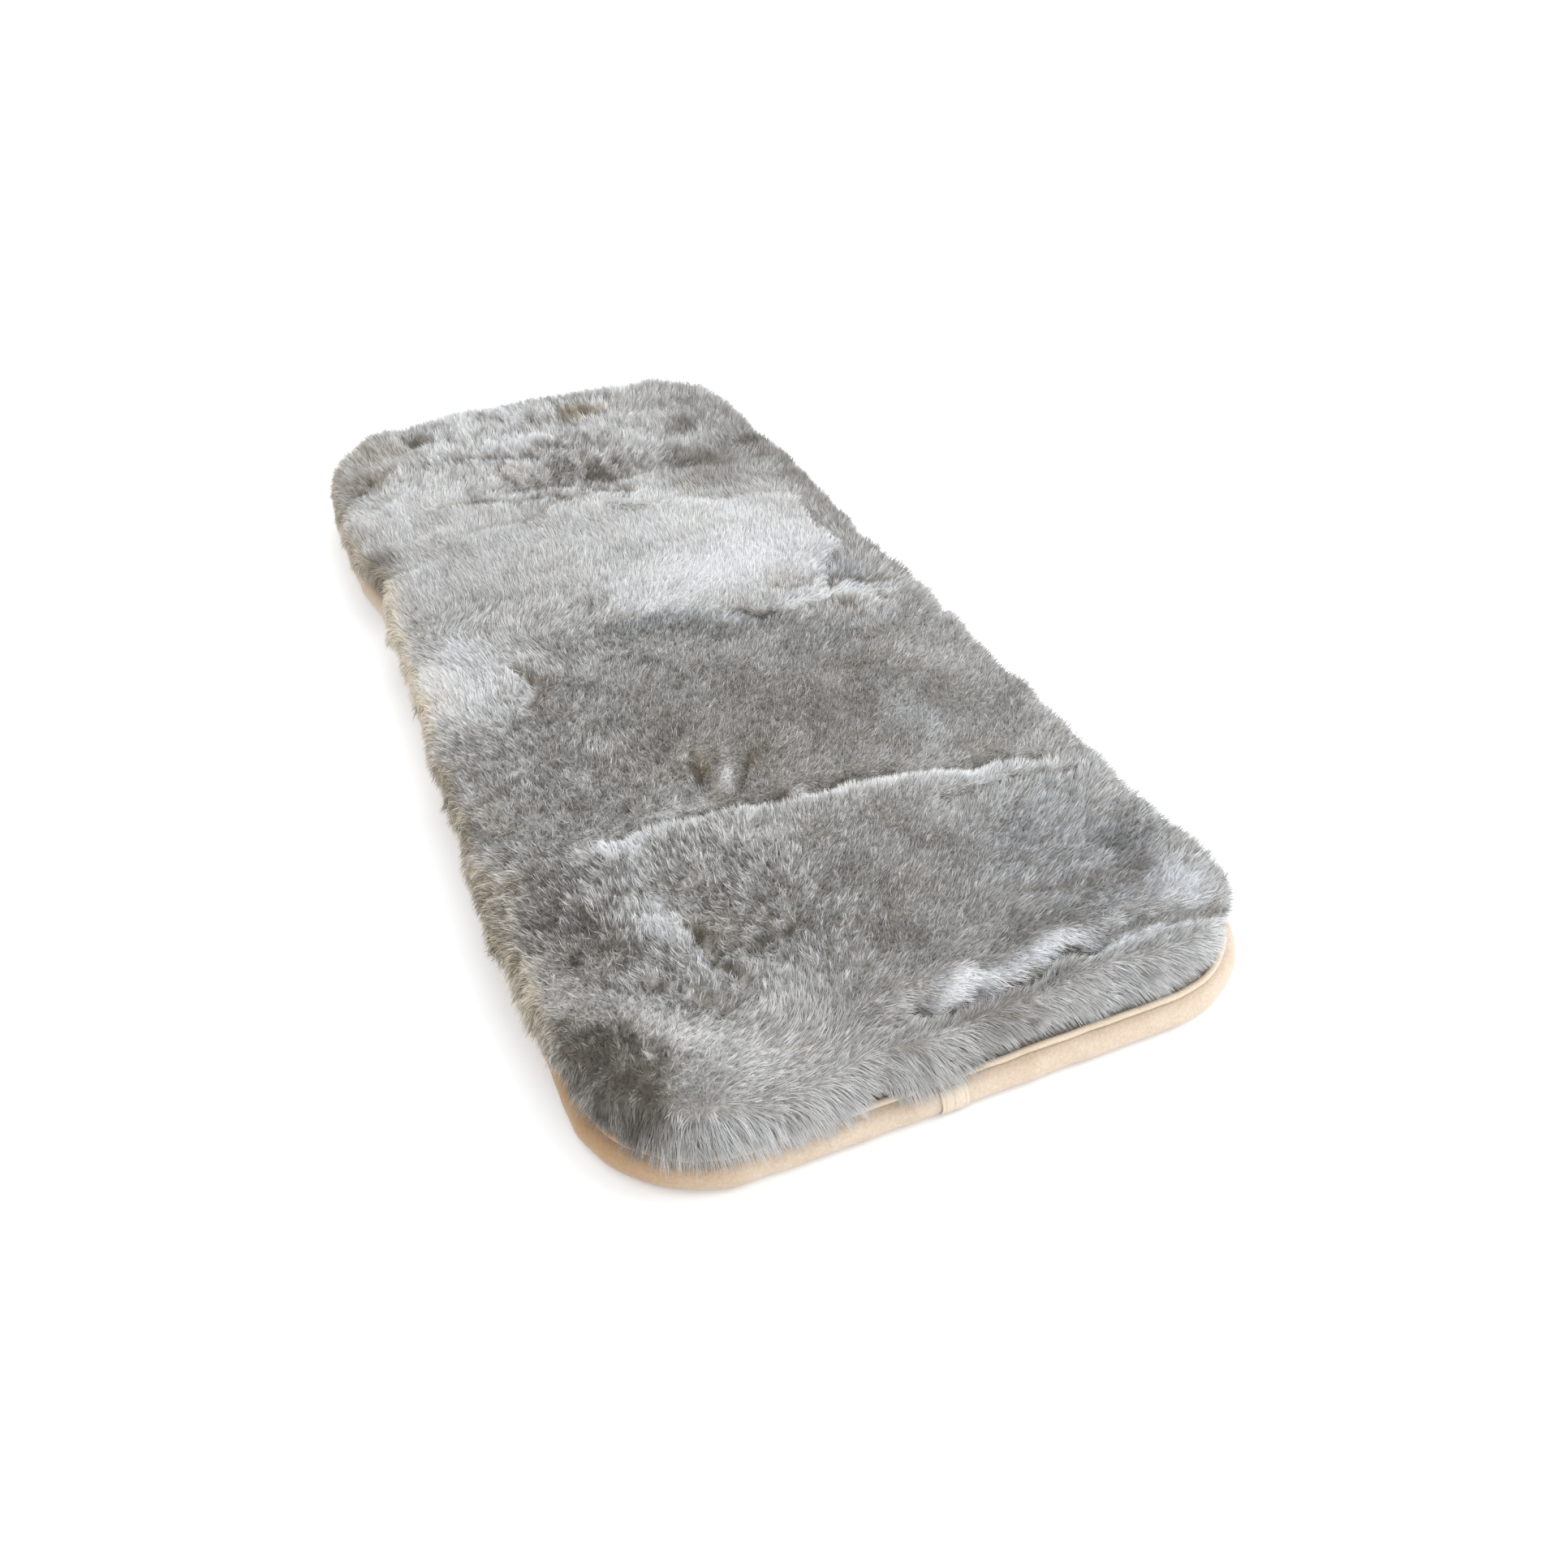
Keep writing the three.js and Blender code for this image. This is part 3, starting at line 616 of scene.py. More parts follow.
def wool_tone(points, normals):
    """How light the wool looks at each point, from 0 to 1, with painted light and shade, and how
    warm, from 0 to 3.
    """
    dice = np.random.default_rng(MOTTLE_SEED)
    tone = np.full(len(points), BASE_TONE)
    warmth = BASE_WARMTH + WARMTH_WANDER * soft_noise(points, WARMTH_SIZE, dice=dice)
    for row, share in patch_shares(points):
        tone += row[-2] * share
        warmth += row[-1] * share
    # Painted warm reflection and painted shade on the left wall.
    left_wall = np.clip(-1.4 * normals[:, 0] - 0.15, 0, 1)
    left_wall *= np.clip((points[:, 1] / MM - GREY_CORNER_Y) / GREY_CORNER_FADE, 0, 1)
    warmth += RIM_PAINTED_REFLECTION * left_wall
    tone -= RIM_SHADE * left_wall
    *_, mottle = nearby_lay(points)
    drawn_out = points * (1, 0.4, 1)
    far = np.clip((points[:, 1] / MM - HEAD_Y) / HEAD_FADE, 0, 1)
    for size, strength in MOTTLE:
        round_spots = soft_noise(points, size * MM, dice=dice)
        long_spots = soft_noise(drawn_out, size * MM, dice=dice)
        tone += mottle * strength * (round_spots * (1 - far) + long_spots * far * HEAD_MOTTLE)
    ragged = 0.75 + 0.45 * soft_noise(points, RAGGED_SIZE, dice=dice)
    # Painted shade in each fold, and a painted highlight on its lip.
    for fold, off, _ in fold_shares(points):
        tone -= FOLD_SHADE * max(0, fold["depth"]) * np.exp(-((off + 0.4) / 0.85) ** 2)
        tone += fold["lip"] * ragged * np.exp(-((off * fold["lip_side"] - 1.7) / 1.0) ** 2)
    return tone, warmth


# %% [markdown]
# ## Which way the wool lies
# Sheared wool stands up, but everything that has lain on it has stroked it one way or another. On
# the top the way changes from place to place. At the rim the wool falls outwards and down, and it
# is stroked round the liner: towards the foot on the left side, and to the right at the foot.

# %% The lay of the strands
# x and y of its middle, reach (mm), turn (degrees), flatness, length, pull of tufts, mottle
LAY = [
    (40, 110, 110, 80, 0.8, 0.85, 0.3, 0.45),
    (-110, 150, 80, 110, 0.7, 0.85, 0.35, 0.6),
    (-20, 340, 70, 100, 0.5, 1.0, 0.6, 2.0),
    (110, 300, 60, 60, 0.5, 0.95, 0.4, 0.9),
    (-130, 325, 36, 130, 0.6, 1.0, 0.4, 0.8),
    (10, 240, 50, -60, 0.3, 0.9, 0.6, 2.3),
    (-130, -10, 60, 125, 0.85, 0.95, 0.45, 1.5),
    (110, -10, 50, 20, 0.6, 1.0, 0.6, 1.2),
    (-20, -10, 60, -60, 0.35, 0.75, 0.5, 1.6),
    (30, -110, 100, -75, 0.3, 0.62, 0.3, 0.6),
    (-110, -120, 60, -120, 0.35, 0.75, 0.45, 1.8),
    (-78, -240, 56, 160, 0.35, 0.85, 0.65, 2.9),
    (-60, -300, 44, 200, 0.4, 0.85, 0.65, 2.4),
    (30, -285, 70, -20, 0.3, 0.62, 0.3, 0.5),
    (115, -290, 45, -30, 0.5, 0.85, 0.45, 0.9),
    (-150, -345, 34, -130, 0.12, 0.75, 0.65, 2.3),
    (-135, -300, 26, -75, 0.6, 0.82, 0.5, 1.6),
    (-70, -355, 45, -15, 0.85, 0.88, 0.45, 0.6),
    (60, -358, 50, -40, 0.7, 0.88, 0.45, 0.9),
]
USUAL_LAY = (0.5, 0.85, 0.45, 1.0)
USUAL_SHARE = 0.15
FLATTEST_LEAN = math.radians(62)
STROKE_SIZE = 30 * MM
STROKE_SHARE = 0.36
FOLD_REACH, FOLD_PULL = 2.2, 2.2
LOW_WALL = 18 * MM


def nearby_lay(points):
    """The rows of LAY blended at each point: the way, then flatness, length, pull and mottle."""
    total = np.full(len(points), USUAL_SHARE)
    way = np.zeros((len(points), 3))
    blended = USUAL_SHARE * np.tile(USUAL_LAY, (len(points), 1))
    for x, y, reach, degrees, *values in LAY:
        share = np.exp(-np.sum((points[:, :2] / MM - (x, y)) ** 2, axis=1) / reach ** 2)
        turn = math.radians(degrees)
        way += share[:, None] * np.array([math.cos(turn), math.sin(turn), 0])
        blended += share[:, None] * np.array(values)
        total += share
    return way / total[:, None], *(blended / total[:, None]).T


def wool_lay(points, normals):
    """The way each strand points: partly along the surface, partly out of it."""
    way, flat, _, _, _ = nearby_lay(points)
    level = np.zeros(len(points))
    stroke_x, stroke_y = soft_noise(points, STROKE_SIZE), soft_noise(points, STROKE_SIZE)
    stroke = STROKE_SHARE * np.stack([stroke_x, stroke_y, level], axis=1)
    way += stroke
    for fold, off, away in fold_shares(points):
        near = np.exp(-(off / FOLD_REACH) ** 2)
        way[:, :2] += (near * FOLD_PULL * fold["lean"])[:, None] * away
        flat += 0.3 * near
    # On the side walls the wool is stroked round the rim and hangs down a little.
    wall = np.clip(1.15 - normals[:, 2] * 1.25, 0, 1)[:, None]
    outward = normals * np.array([1, 1, 0])
    outward /= np.maximum(np.linalg.norm(outward, axis=1), 0.05)[:, None]
    round_rim = np.stack([-outward[:, 1], outward[:, 0], level], axis=1)
    low = np.clip(1.2 - (points[:, 2:] - SEWN_FACE) / LOW_WALL, 0, 1)
    down = np.array([0, 0, -1.0])
    hanging = (
        (0.2 + 0.8 * low) * outward + (0.95 - 0.5 * low) * round_rim
        + (0.6 + 0.5 * low) * down + 0.4 * stroke
    )
    over_edge = overhang(points)[:, None]
    hanging = hanging * (1 - over_edge) + (0.4 * outward + 0.3 * round_rim + down) * over_edge
    way = way * (1 - wall) + hanging * wall
    flat_wall = 0.95 - 0.3 * low[:, 0] - 0.15 * over_edge[:, 0]
    flat = (flat + wall[:, 0]) * (1 - wall[:, 0]) + flat_wall * wall[:, 0]
    way -= normals * np.sum(way * normals, axis=1)[:, None]
    way /= np.maximum(np.linalg.norm(way, axis=1), 1e-6)[:, None]
    lean = FLATTEST_LEAN * np.clip(flat, 0.1, 1)
    return normals * np.cos(lean)[:, None] + way * np.sin(lean)[:, None]


# %% [markdown]
# ## The strands
# Hair curves would look right here but can't be used outside Blender, so each strand is a real
# three-sided spike, made once as a cone and then repeated with arrays. Strands in a real fleece
# stick together at their tips in small tufts, which is what the eye reads as wool. So every strand
# belongs to the nearest of many tufts, and its tip is drawn towards that tuft's tip.

# %% Scatter, tufts and tips
STRANDS = 225_000
PIECES = ["pile_foot", "pile_legs", "pile_seat", "pile_back", "pile_head"]
TUFTS = 34_000
STRAND_LENGTH = 6.8 * MM
WALL_LENGTH = 7.2 * MM
OVERHANG_LENGTH = 5.2 * MM
STRAND_WIDTH = 0.58 * MM
# y (mm), and how many strands grow on each area there. Where there are more, they are thinner.
DENSITY = [(-400, 1.5), (-250, 1.25), (0, 0.95), (400, 0.7)]
ROOT_DEPTH = 0.8 * MM
LOWEST_ROOT = SEWN_FACE + 0.7 * MM
# The shortest strand of a tuft and the shortest tuft, and how much longer the others may be.
SHORTEST_STRAND, STRAND_SPREAD = 0.75, 0.4
SHORTEST_TUFT, TUFT_SPREAD = 0.88, 0.24
# Towards the right side, the single strands differ less in lightness.
SMOOTH_RIGHT, SMOOTH_RIGHT_X = 0.35, 130
# y (mm), and how much single strands differ in lightness there.
CRISP = [
    (-400, 0.6), (-340, 0.75), (-305, 1.5), (-200, 1.65),
    (-60, 1.45), (40, 1.2), (140, 0.75), (400, 0.5),
]
STRAND_STRAY, TUFT_STRAY = 0.22, 0.35
FOLD_SHORTENING = 0.06
UNDERSIDE_SHARE = 0.6


def scatter_on(mesh, count, lowest):
    """Even random places on the mesh's faces, with the surface's soft normals there."""
    mesh.calc_loop_triangles()
    corners = np.empty(len(mesh.loop_triangles) * 3, np.int32)
    mesh.loop_triangles.foreach_get("vertices", corners)
    corners = corners.reshape(-1, 3)
    places, normals = vertex_places(mesh), vertex_normals(mesh)
    a, b, c = (places[corners[:, k]] for k in range(3))
    area = np.linalg.norm(np.cross(b - a, c - a), axis=1) / 2
    middle = (a + b + c) / 3
    area[middle[:, 2] < lowest] = 0
    area *= eased(middle[:, 1] / MM, *zip(*DENSITY))
    area *= np.where(normals[corners[:, 0]][:, 2] < -0.2, UNDERSIDE_SHARE, 1)
    steps = np.cumsum(area) / area.sum()
    face = np.searchsorted(steps, (np.arange(count) + luck.random(count)) / count)
    face = np.minimum(face, len(area) - 1)
    first, second = luck.random(count), luck.random(count)
    over = first + second > 1
    first[over], second[over] = 1 - first[over], 1 - second[over]
    shares = np.stack([1 - first - second, first, second], axis=1)[:, :, None]
    spot = (places[corners[face]] * shares).sum(axis=1)
    normal = (normals[corners[face]] * shares).sum(axis=1)
    return spot, normal / np.linalg.norm(normal, axis=1)[:, None]


def nearest_tuft(roots, tufts):
    tree = kdtree.KDTree(len(tufts))
    for index, place in enumerate(tufts):
        tree.insert(place, index)
    tree.balance()
    return np.array([tree.find(root)[1] for root in roots])


def grow_strands(mesh):
    roots, normals = scatter_on(mesh, STRANDS, LOWEST_ROOT)
    tufts, tuft_normals = scatter_on(mesh, TUFTS, LOWEST_ROOT)
    tuft_of = nearest_tuft(roots, tufts)
    wall = np.clip(1 - normals[:, 2], 0, 1)
    _, _, longer, pull, mottle = nearby_lay(roots)
    mottle *= 1 - 0.45 * wall
    length = STRAND_LENGTH * longer * (1 - wall) + WALL_LENGTH * wall
    length += (OVERHANG_LENGTH * overhang(roots) - TRIM_DEPTH * left_trim(roots, normals)) * wall
    strand_share = SHORTEST_STRAND + STRAND_SPREAD * luck.random(STRANDS)
    tuft_share = SHORTEST_TUFT + TUFT_SPREAD * luck.random(TUFTS)
    length *= strand_share * tuft_share[tuft_of]
    for fold, off, _ in fold_shares(roots):
        length *= 1 - FOLD_SHORTENING * max(0, fold["depth"]) * np.exp(-off ** 2)
    # Where the wool lies flat, and on the walls, the strands stray less from their way.
    calm, tuft_calm = (
        ((1.2 - 0.65 * nearby_lay(at)[1]) * (1 - 0.4 * np.clip(1 - out[:, 2], 0, 1)))[:, None]
        for at, out in ((roots, normals), (tufts, tuft_normals))
    )
    ways = wool_lay(roots, normals)
    ways += STRAND_STRAY * calm * luck.normal(size=(STRANDS, 3))
    tuft_ways = wool_lay(tufts, tuft_normals)
    tuft_ways += TUFT_STRAY * tuft_calm * luck.normal(size=(TUFTS, 3))
    ways /= np.linalg.norm(ways, axis=1)[:, None]
    tuft_ways /= np.linalg.norm(tuft_ways, axis=1)[:, None]
    tips = roots + ways * length[:, None]
    tuft_tips = tufts[tuft_of] + tuft_ways[tuft_of] * length[:, None]
    pull = (pull * (0.5 + luck.random(STRANDS)) * (1 - 0.4 * wall))[:, None]
    tips = tips * (1 - pull) + tuft_tips * pull
    tone, warmth = (value[tuft_of] for value in wool_tone(tufts, tuft_normals))
    # Tufts differ in lightness (first column), and so do single strands (second column).
    spread = 0.02 + 0.075 * mottle[:, None] * (1, 0.45) + (0, 0.08)
    spread[:, 1] *= eased(roots[:, 1] / MM, *zip(*CRISP)) * (1 - 0.4 * wall)
    spread[:, 1] *= 1 - SMOOTH_RIGHT * np.clip(roots[:, 0] / MM / SMOOTH_RIGHT_X, 0, 1)
    tuft_chance, strand_chance = luck.normal(size=TUFTS)[tuft_of], luck.normal(size=STRANDS)
    tone += spread[:, 0] * tuft_chance + spread[:, 1] * strand_chance
    warmth = np.clip(np.round(warmth + luck.uniform(-0.5, 0.5, STRANDS)), 0, 3)
    return roots - normals * ROOT_DEPTH, tips, normals, np.clip(tone, 0.02, 0.98), warmth


roots, tips, root_normals, tones, warmths = grow_strands(bed.data)
print("strands", len(roots), "middle tone", round(float(tones.mean()), 3))

# %% [markdown]
# ## From strands to meshes
# All strands share one small shape: a cone with three sides and a closed foot. Its corners are
# laid along each strand by arrays, which is the same as copying the cone, only quicker. The UV map
# says how light the strand is (across). Up the map are four bands, from cool to warm wool, and how
# high a corner is in its band is how far up the strand it is. So one small map holds every colour.

# %% One strand, repeated
TONE_BAND = 0.008
WARMTHS = [(0.95, 0.99, 1.055), (1.0, 1.0, 1.0), (1.045, 1.0, 0.945), (1.14, 1.0, 0.8)]


def strand_shape():
    """Corners of the unit strand, three at the foot and one at the tip, and its faces."""
    shape = bmesh.new()
    bmesh.ops.create_cone(
        shape, cap_ends=True, cap_tris=False, segments=3, radius1=0.5, radius2=0, depth=1,
        matrix=Matrix.Translation((0, 0, 0.5)),
    )
    bmesh.ops.remove_doubles(shape, verts=shape.verts[:], dist=1e-4)
    shape.verts.ensure_lookup_table()
    shape.verts.index_update()
    corners = np.array([vert.co[:] for vert in shape.verts])
    faces = np.array([[vert.index for vert in face.verts] for face in shape.faces])
    shape.free()
    return corners, faces


def make_pile(name, roots, tips, normals, tones, warmths, material):
    corners, faces = strand_shape()
    count, each = len(roots), len(corners)
    up = tips - roots
    side = np.cross(up, luck.normal(size=(count, 3)))
    thinner = np.sqrt(eased(roots[:, 1] / MM, *zip(*DENSITY)))
    width = STRAND_WIDTH * (0.75 + 0.5 * luck.random(count)) / thinner
    side *= (width / np.linalg.norm(side, axis=1))[:, None]
    other = np.cross(up, side) / np.linalg.norm(up, axis=1)[:, None]
    places = (
        roots[:, None]
        + corners[None, :, 0:1] * side[:, None]
        + corners[None, :, 1:2] * other[:, None]
        + corners[None, :, 2:3] * up[:, None]
    )
    index = (faces[None] + each * np.arange(count)[:, None, None]).ravel()
    mesh = bpy.data.meshes.new(name)
    mesh.vertices.add(count * each)
    mesh.vertices.foreach_set("co", places.ravel())
    mesh.loops.add(len(index))
    mesh.loops.foreach_set("vertex_index", index)
    mesh.polygons.add(count * len(faces))
    mesh.polygons.foreach_set("loop_start", np.arange(0, len(index), 3))
    height = 0.08 + 0.84 * corners[faces][:, :, 2] + 0.02 * (np.arange(3) == 1)
    band = TONE_BAND * (np.arange(3) - 1)[None, :] * np.ones((len(faces), 1))
    uv = np.empty((count, len(faces), 3, 2))
    uv[..., 0] = tones[:, None, None] + band[None]
    uv[..., 1] = (warmths[:, None, None] + height[None]) / len(WARMTHS)
    layer = mesh.uv_layers.new(name="OFBake")
    layer.data.foreach_set("uv", uv.ravel())
    mesh.update(calc_edges=True)
    mesh.validate()
    # The strands are lit like the soft surface that they make together, not each on its own.
    own = vertex_normals(mesh)
    soft = 0.4 * own + np.repeat(normals, each, axis=0) + (0, 0, 0.3)
    mesh.normals_split_custom_set_from_vertices(soft / np.linalg.norm(soft, axis=1)[:, None])
    mesh.materials.append(material)
    piece = bpy.data.objects.new(name, mesh)
    bpy.context.collection.objects.link(piece)
    return piece


# %% The colours of the wool
WOOL_COLOURS = [
    (0.0, (0.1, 0.088, 0.074)),
    (0.25, (0.24, 0.228, 0.21)),
    (0.5, (0.45, 0.447, 0.44)),
    (0.75, (0.7, 0.7, 0.7)),
    (1.0, (0.93, 0.935, 0.945)),
]
# Strands are painted darker towards their roots: painted shade deep in the pile.
ROOT_SHADE = 0.26


def wool_finish():
    wool = Finish("wool_strands", Roughness=0.85, Sheen_Weight=0.15, Sheen_Roughness=0.6)
    uv = wool.node("ShaderNodeUVMap", {"uv_map": "OFBake"})
    parts = wool.node("ShaderNodeSeparateXYZ", None, uv)
    up = Wire(wool, parts.socket.node.outputs[1]) * len(WARMTHS)
    height = up.math("FRACT", up)
    shade = ROOT_SHADE + (1 - ROOT_SHADE) * height ** 0.7
    colour, tint = wool.ramp(parts, WOOL_COLOURS), wool.tint(up.math("FLOOR", up))
    tinted = wool.blend(1.0, colour, tint, "MULTIPLY")
    return wool.shade(Base_Color=wool.blend(1.0, tinted, shade, "MULTIPLY"))


def bed_finish(bed):
    """The bed is the same wool seen from its roots: painted darker, as shade deep in the pile, with
    a fine uneven grain.
    """
    wool = Finish("wool_roots", Roughness=0.95)
    values = wool_tone(vertex_places(bed.data), vertex_normals(bed.data))
    for name, value, most in zip(("tone", "warmth"), values, (1, 3)):
        layer = bed.data.attributes.new(name, "FLOAT", "POINT")
        layer.data.foreach_set("value", np.clip(value, 0, most))
    tone = wool.node("ShaderNodeAttribute", {"attribute_name": "tone"}, out=2)
    warmth = wool.node("ShaderNodeAttribute", {"attribute_name": "warmth"}, out=2)
    place = wool.node("ShaderNodeTexCoord", None, out=3)
    grain = wool.noise(place, 900.0, 3.0, 0.6)
    colour = wool.ramp(tone * 0.7 + grain * 0.5 - 0.38, WOOL_COLOURS)
    tinted = wool.blend(1.0, colour, wool.tint(warmth), "MULTIPLY")
    return wool.shade(Base_Color=tinted, Normal=wool.bump(grain, 0.6 * MM))


def keep(piece, slot):
    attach(piece, "root")
    return piece


bed.data.materials.clear()
bed.data.materials.append(bed_finish(bed))
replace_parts(keep(bed, "wool"), "fleece")

strand_wool = wool_finish()
strands = (roots, tips, root_normals, tones, warmths)
from_foot = np.argsort(roots[:, 1])
for name, share in zip(PIECES, np.array_split(from_foot, len(PIECES))):
    pile = make_pile(name, *(values[share] for values in strands), strand_wool)
    keep(pile, "wool")
    print(name, len(pile.data.polygons), "faces")

# %% [markdown]
# ## The cloth backing and its rolled edge
# The backing is a thin pad. Its edge cloth is rolled into a soft half round, a fine crevice runs
# behind the roll, and the wool is sewn on inside that. A section swept round the liner's edge
# gives all of this, so one loop of edges is extruded again and again along the section.

# %% The liner's edge, seen from above
EDGE_STEPS = 520
CORNER_SIGNS = [(1, 1), (-1, 1), (-1, -1), (1, -1)]
# y, and how far the left and the right edge are drawn in there (mm)
DRAWN_IN = [
    (-220, 0, 0), (-40, 1, 0), (40, 5, 3), (110, 8, 2),
    (158, 7, 0), (210, 1, 0), (320, 1, 0), (390, 5, 3),
]


def edge_line():
    """Places along the backing's outermost edge, and the way out of it at each."""
    straight_x, straight_y = WIDTH / 2 - CORNER_RADIUS, LENGTH / 2 - CORNER_RADIUS
    arc = math.pi / 2 * CORNER_RADIUS
    around = 4 * (straight_x + straight_y + arc)
    gone = np.arange(EDGE_STEPS) / EDGE_STEPS * around
    places, ways = np.zeros((EDGE_STEPS, 2)), np.zeros((EDGE_STEPS, 2))
    for k, distance in enumerate(gone):
        left = distance
        for corner in range(4):
            turn = corner * math.pi / 2
            middle = np.array([straight_x, straight_y]) * CORNER_SIGNS[corner]
            straight = 2 * (straight_x if corner % 2 == 0 else straight_y)
            if left < arc:
                turn += left / CORNER_RADIUS
                travel = 0
            elif left < arc + straight:
                turn += math.pi / 2
                travel = left - arc
            else:
                left -= arc + straight
                continue
            ways[k] = math.cos(turn), math.sin(turn)
            onwards = np.array([-math.sin(turn), math.cos(turn)])
            places[k] = middle + CORNER_RADIUS * ways[k] + travel * onwards
            break
    return places, ways


def drawn_in(places):
    """Moves places on the sides in where the liner has been folded."""
    stations, *sides = zip(*DRAWN_IN)
    left, right = (eased(places[:, 1] / MM, stations, side) for side in sides)
    inwards = np.where(places[:, 0] < 0, left, right) * MM
    moved = places.copy()
    moved[:, 0] *= 1 - inwards / (WIDTH / 2)
    return moved


def sweep(section, pucker):
    """Sweeps a section, rows of (inset, height, how much it puckers) in mm, round the edge."""
    edge, ways = edge_line()
    around = np.column_stack([edge, np.zeros(EDGE_STEPS)])
    ripples = soft_noise(around, 9 * MM) + 0.8 * soft_noise(around, 30 * MM)
    levels = len(section)
    shape = bmesh.new()
    bmesh.ops.create_grid(
        shape, x_segments=EDGE_STEPS, y_segments=levels - 1, size=0.5,
        matrix=Matrix.Translation((0.5, 0.5, 0)),
    )
    for vert in shape.verts:
        station = round(vert.co.x * EDGE_STEPS) % EDGE_STEPS
        inset, height, soft = section[round(vert.co.y * (levels - 1))]
        out = (ripples[station] * pucker * soft - inset) * MM
        vert.co.xy = drawn_in((edge[station] + ways[station] * out)[None])[0]
        vert.co.z = height * MM
    bmesh.ops.remove_doubles(shape, verts=shape.verts[:], dist=MERGE_DISTANCE)
    return shape


print("edge", EDGE_STEPS, "steps")

# %% The backing's section and its mesh
ROLL = BACKING_THICKNESS / 2 / MM
BACKING_PUCKER = 0.22
# Inset, height and share of the pucker: the underside, the half round, the crevice, the top.
BACKING_SECTION = [
    (20, 0, 0), (11, 0, 0),
    *[(ROLL - ROLL * math.sin(k * math.pi / 14), ROLL - ROLL * math.cos(k * math.pi / 14), 1)
      for k in range(13)],
    (5.7, 13.9, 0.4), (6.8, 14.3, 0.2), (8.8, 14.3, 0.2), (9.6, 13.5, 0.2),
    (10.4, 14.2, 0), (20, 14.4, 0),
]


def make_backing():
    shape = sweep(BACKING_SECTION, BACKING_PUCKER)
    rims = [edge for edge in shape.edges if edge.is_boundary]
    bmesh.ops.holes_fill(shape, edges=rims, sides=EDGE_STEPS + 1)
    bmesh.ops.recalc_face_normals(shape, faces=shape.faces[:])
    backing = new_piece("backing_cloth", shape)
    backing.data.shade_smooth()
    return backing


backing = make_backing()
print("backing", len(backing.data.polygons), "faces")

# %% [markdown]
# ## The piping
# A thin cord, covered with the same cloth, runs on top of the roll next to the wool. It wanders a
# little, as sewn cords do. It is the same sweep with a small round section.

# %% The piping
PIPING_RADIUS = 1.6
PIPING_INSET = 7.0
PIPING_PUCKER = 0.12
PIPING_HEIGHT = BACKING_THICKNESS / MM + GAP / MM + PIPING_RADIUS
PIPING_SECTION = [
    (PIPING_INSET + PIPING_RADIUS * math.cos(k * math.pi / 5),
     PIPING_HEIGHT - PIPING_RADIUS * math.sin(k * math.pi / 5), 1)
    for k in range(11)
]


def make_piping():
    shape = sweep(PIPING_SECTION, PIPING_PUCKER)
    bmesh.ops.recalc_face_normals(shape, faces=shape.faces[:])
    piping = new_piece("piping_cord", shape)
    piping.data.shade_smooth()
    return piping


piping = make_piping()
print("piping", len(piping.data.polygons), "faces")

# %% [markdown]
# ## The lap in the edge cloth
# The edge cloth is one long strip. Where its two ends meet, at the foot, one end is folded over the
# other and stitched down. That lap is a small sheet that goes round the roll.

# %% The lap
LAP_X = -10.5
LAP_WIDTH = 13.0
LAP_THICKNESS = 0.75
LAP_START = -0.27 * math.pi
LAP_END = 0.36 * math.pi
LAP_INSIDE = ROLL + 0.3
LAP_STITCHES = [-5.0, -0.8, 4.6]
STITCH_DEPTH = 0.45
STITCH_WIDTH = 0.3


def make_lap():
    shape = bmesh.new()
    bmesh.ops.create_grid(shape, x_segments=44, y_segments=24, size=0.5)
    bmesh.ops.solidify(shape, geom=shape.faces[:], thickness=1.0)
    for vert in shape.verts:
        across = vert.co.x * LAP_WIDTH
        turn = LAP_START + (vert.co.y + 0.5) * (LAP_END - LAP_START)
        outside = abs(vert.co.z) > 0.5
        edge = min(1, (0.5 - abs(vert.co.x)) * 10, (0.5 - abs(vert.co.y)) * 12)
        radius = LAP_INSIDE
        if outside:
            radius += LAP_THICKNESS * (0.55 + 0.45 * edge)
            radius -= sum(
                STITCH_DEPTH * math.exp(-((across - stitch) / STITCH_WIDTH) ** 2)
                for stitch in LAP_STITCHES
            )
        vert.co = Vector((
            LAP_X + across,
            -LENGTH / MM / 2 + ROLL - radius * math.cos(turn),
            ROLL + radius * math.sin(turn),
        )) * MM
    bmesh.ops.recalc_face_normals(shape, faces=shape.faces[:])
    lap = new_piece("edge_cloth_lap", shape)
    lap.data.shade_smooth()
    return lap


lap = make_lap()
lap_length = (LAP_INSIDE + LAP_THICKNESS / 2) * (LAP_END - LAP_START)
print("lap", len(lap.data.polygons), "faces, cut to", LAP_WIDTH, "by", round(lap_length, 1), "mm")

# %% [markdown]
# ## The finish of the cloth
# The edge cloth is a brushed, suede-like beige. Up close it has a fine nap, with small soft patches
# that are a little lighter where the nap lies over. It reads best with a fine bump, a faint sheen,
# a slow change of colour, and painted shade that makes it darker and more tan towards the left.

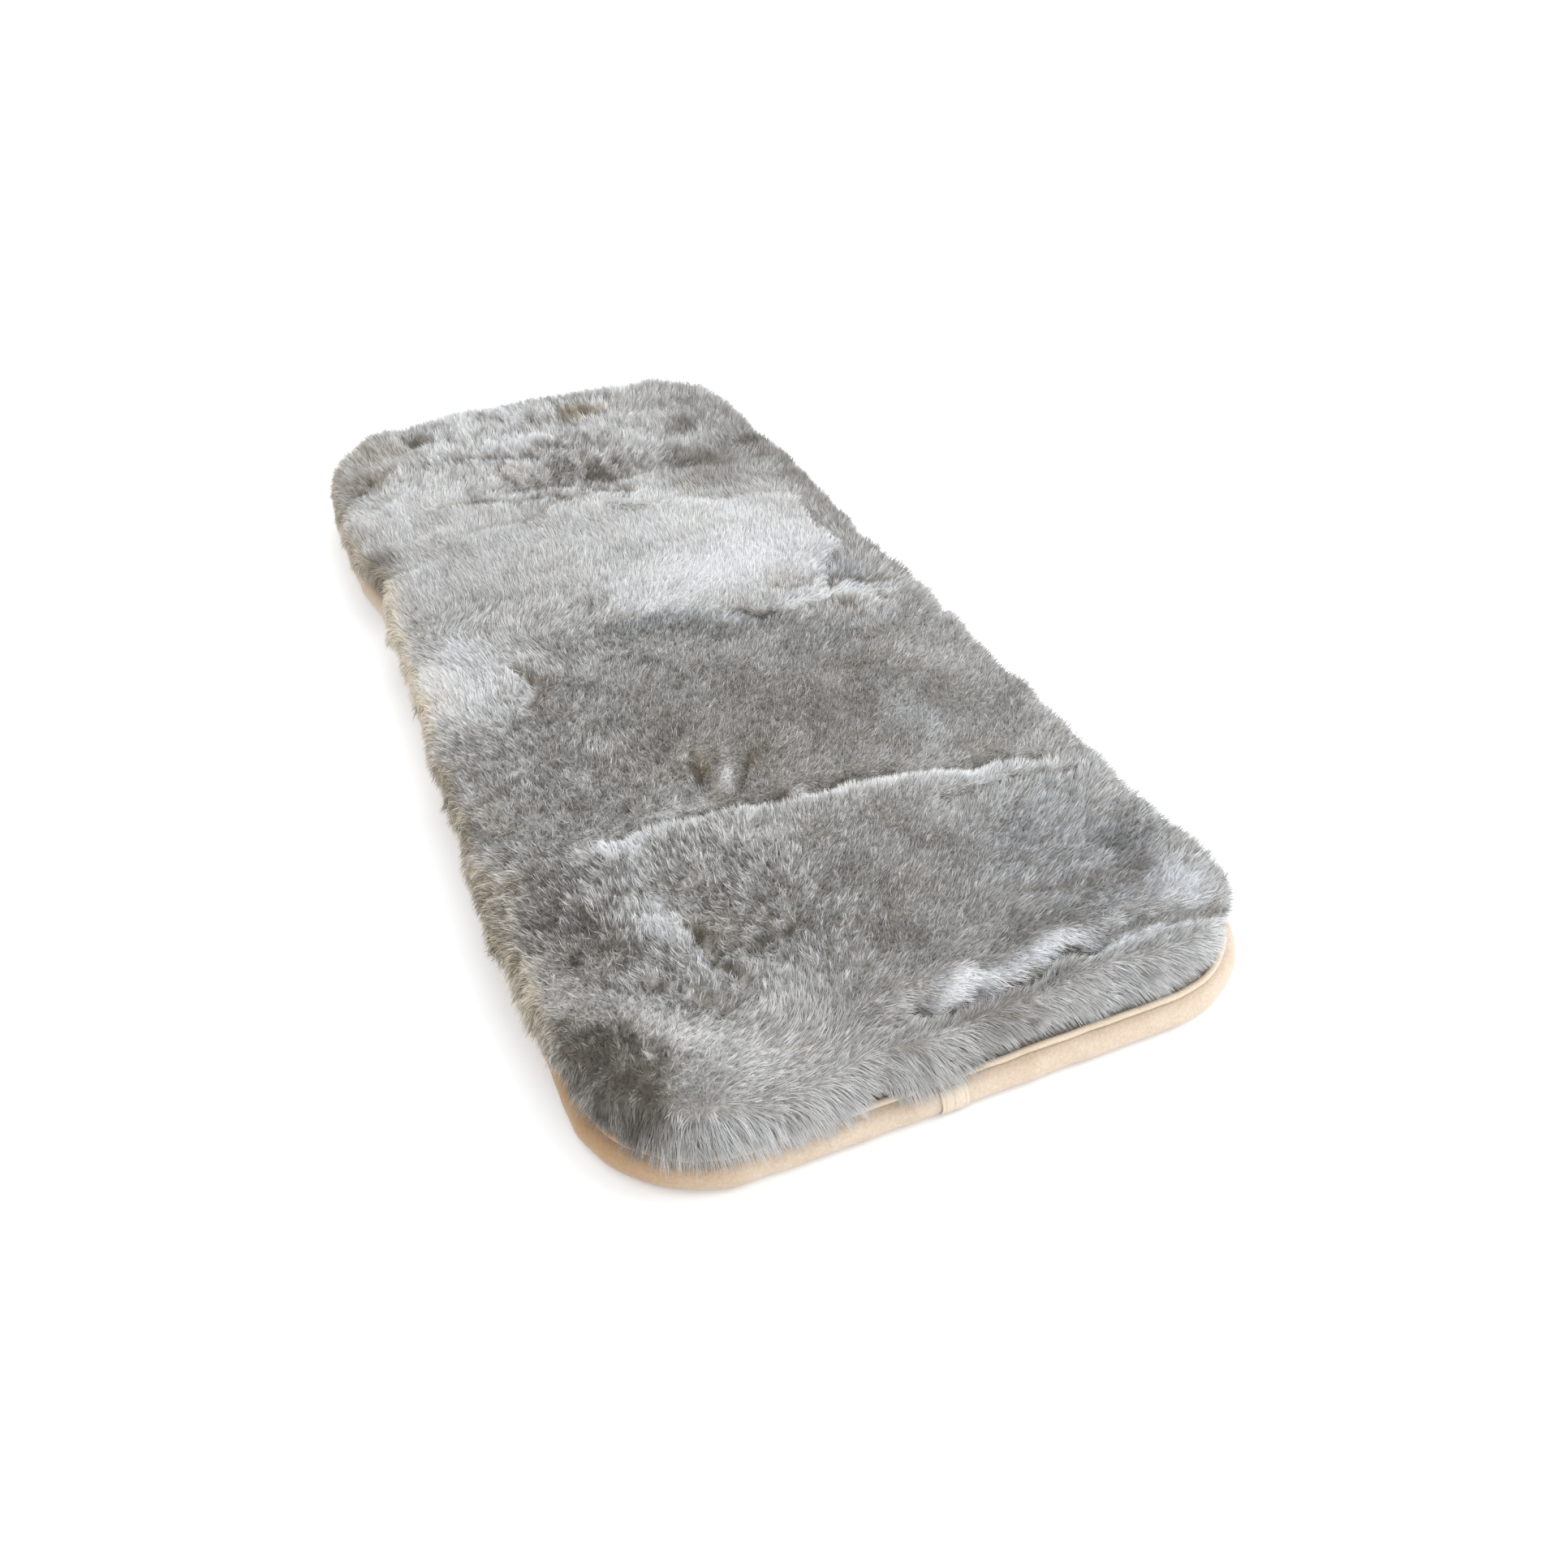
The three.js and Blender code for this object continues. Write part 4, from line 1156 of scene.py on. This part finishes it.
# %% The cloth's material
BACKING_TAN = (0.385, 0.277, 0.182, 1)
BACKING_CREAM = (0.55, 0.465, 0.38, 1)
PIPING_TAN = (0.44, 0.34, 0.235, 1)
PIPING_CREAM = (0.6, 0.52, 0.42, 1)
LAP_TAN = (0.45, 0.36, 0.255, 1)
LAP_CREAM = (0.605, 0.525, 0.425, 1)
# On the left the cloth is painted darker and more tan, most of all at the foot: painted shade.
LEFT_PAINTED_SHADE = (0.6, 0.45, 0.28, 1)


def cloth_finish(name, tan, cream, nap):
    cloth = Finish(name, Roughness=0.9, Sheen_Weight=0.25, Sheen_Roughness=0.5)
    place = cloth.node("ShaderNodeTexCoord", None, out=3)
    slow = cloth.noise(place, 55.0, 3.0, 0.55)
    fine = cloth.noise(place, nap, 2.0, 0.65)
    fibres = cloth.noise(place, nap * 2.7, 2.0, 0.7)
    mixed = slow * 0.8 + fine + fibres * 0.6 - 0.62
    across = cloth.node("ShaderNodeSeparateXYZ", None, place)
    # Painted shade: darker and more tan towards the left, most of all at the foot.
    left = cloth.node("ShaderNodeMapRange", {"clamp": True}, across, -0.1, -0.16, 0.0, 1.0)
    along = Wire(cloth, across.socket.node.outputs[1])
    left *= cloth.node("ShaderNodeMapRange", {"clamp": True}, along, -0.2, 0.15, 1.0, 0.25)
    colour = cloth.blend(mixed, tan, cream)
    return cloth.shade(
        Base_Color=cloth.blend(1.0, colour, cloth.blend(left, (1, 1, 1, 1), LEFT_PAINTED_SHADE), "MULTIPLY"),
        Normal=cloth.bump(fine * 0.6 + fibres * 0.4, 0.5 * MM, 0.9),
    )


for piece, node, slot, tan, cream, nap in (
    (backing, "backing", "backing_cloth", BACKING_TAN, BACKING_CREAM, 650.0),
    (piping, "piping", "edge_cloth", PIPING_TAN, PIPING_CREAM, 800.0),
    (lap, "edge_lap", "edge_cloth", LAP_TAN, LAP_CREAM, 700.0),
):
    piece.data.materials.append(cloth_finish(piece.name, tan, cream, nap))
    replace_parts(keep(piece, slot), node)
lap_length * MM
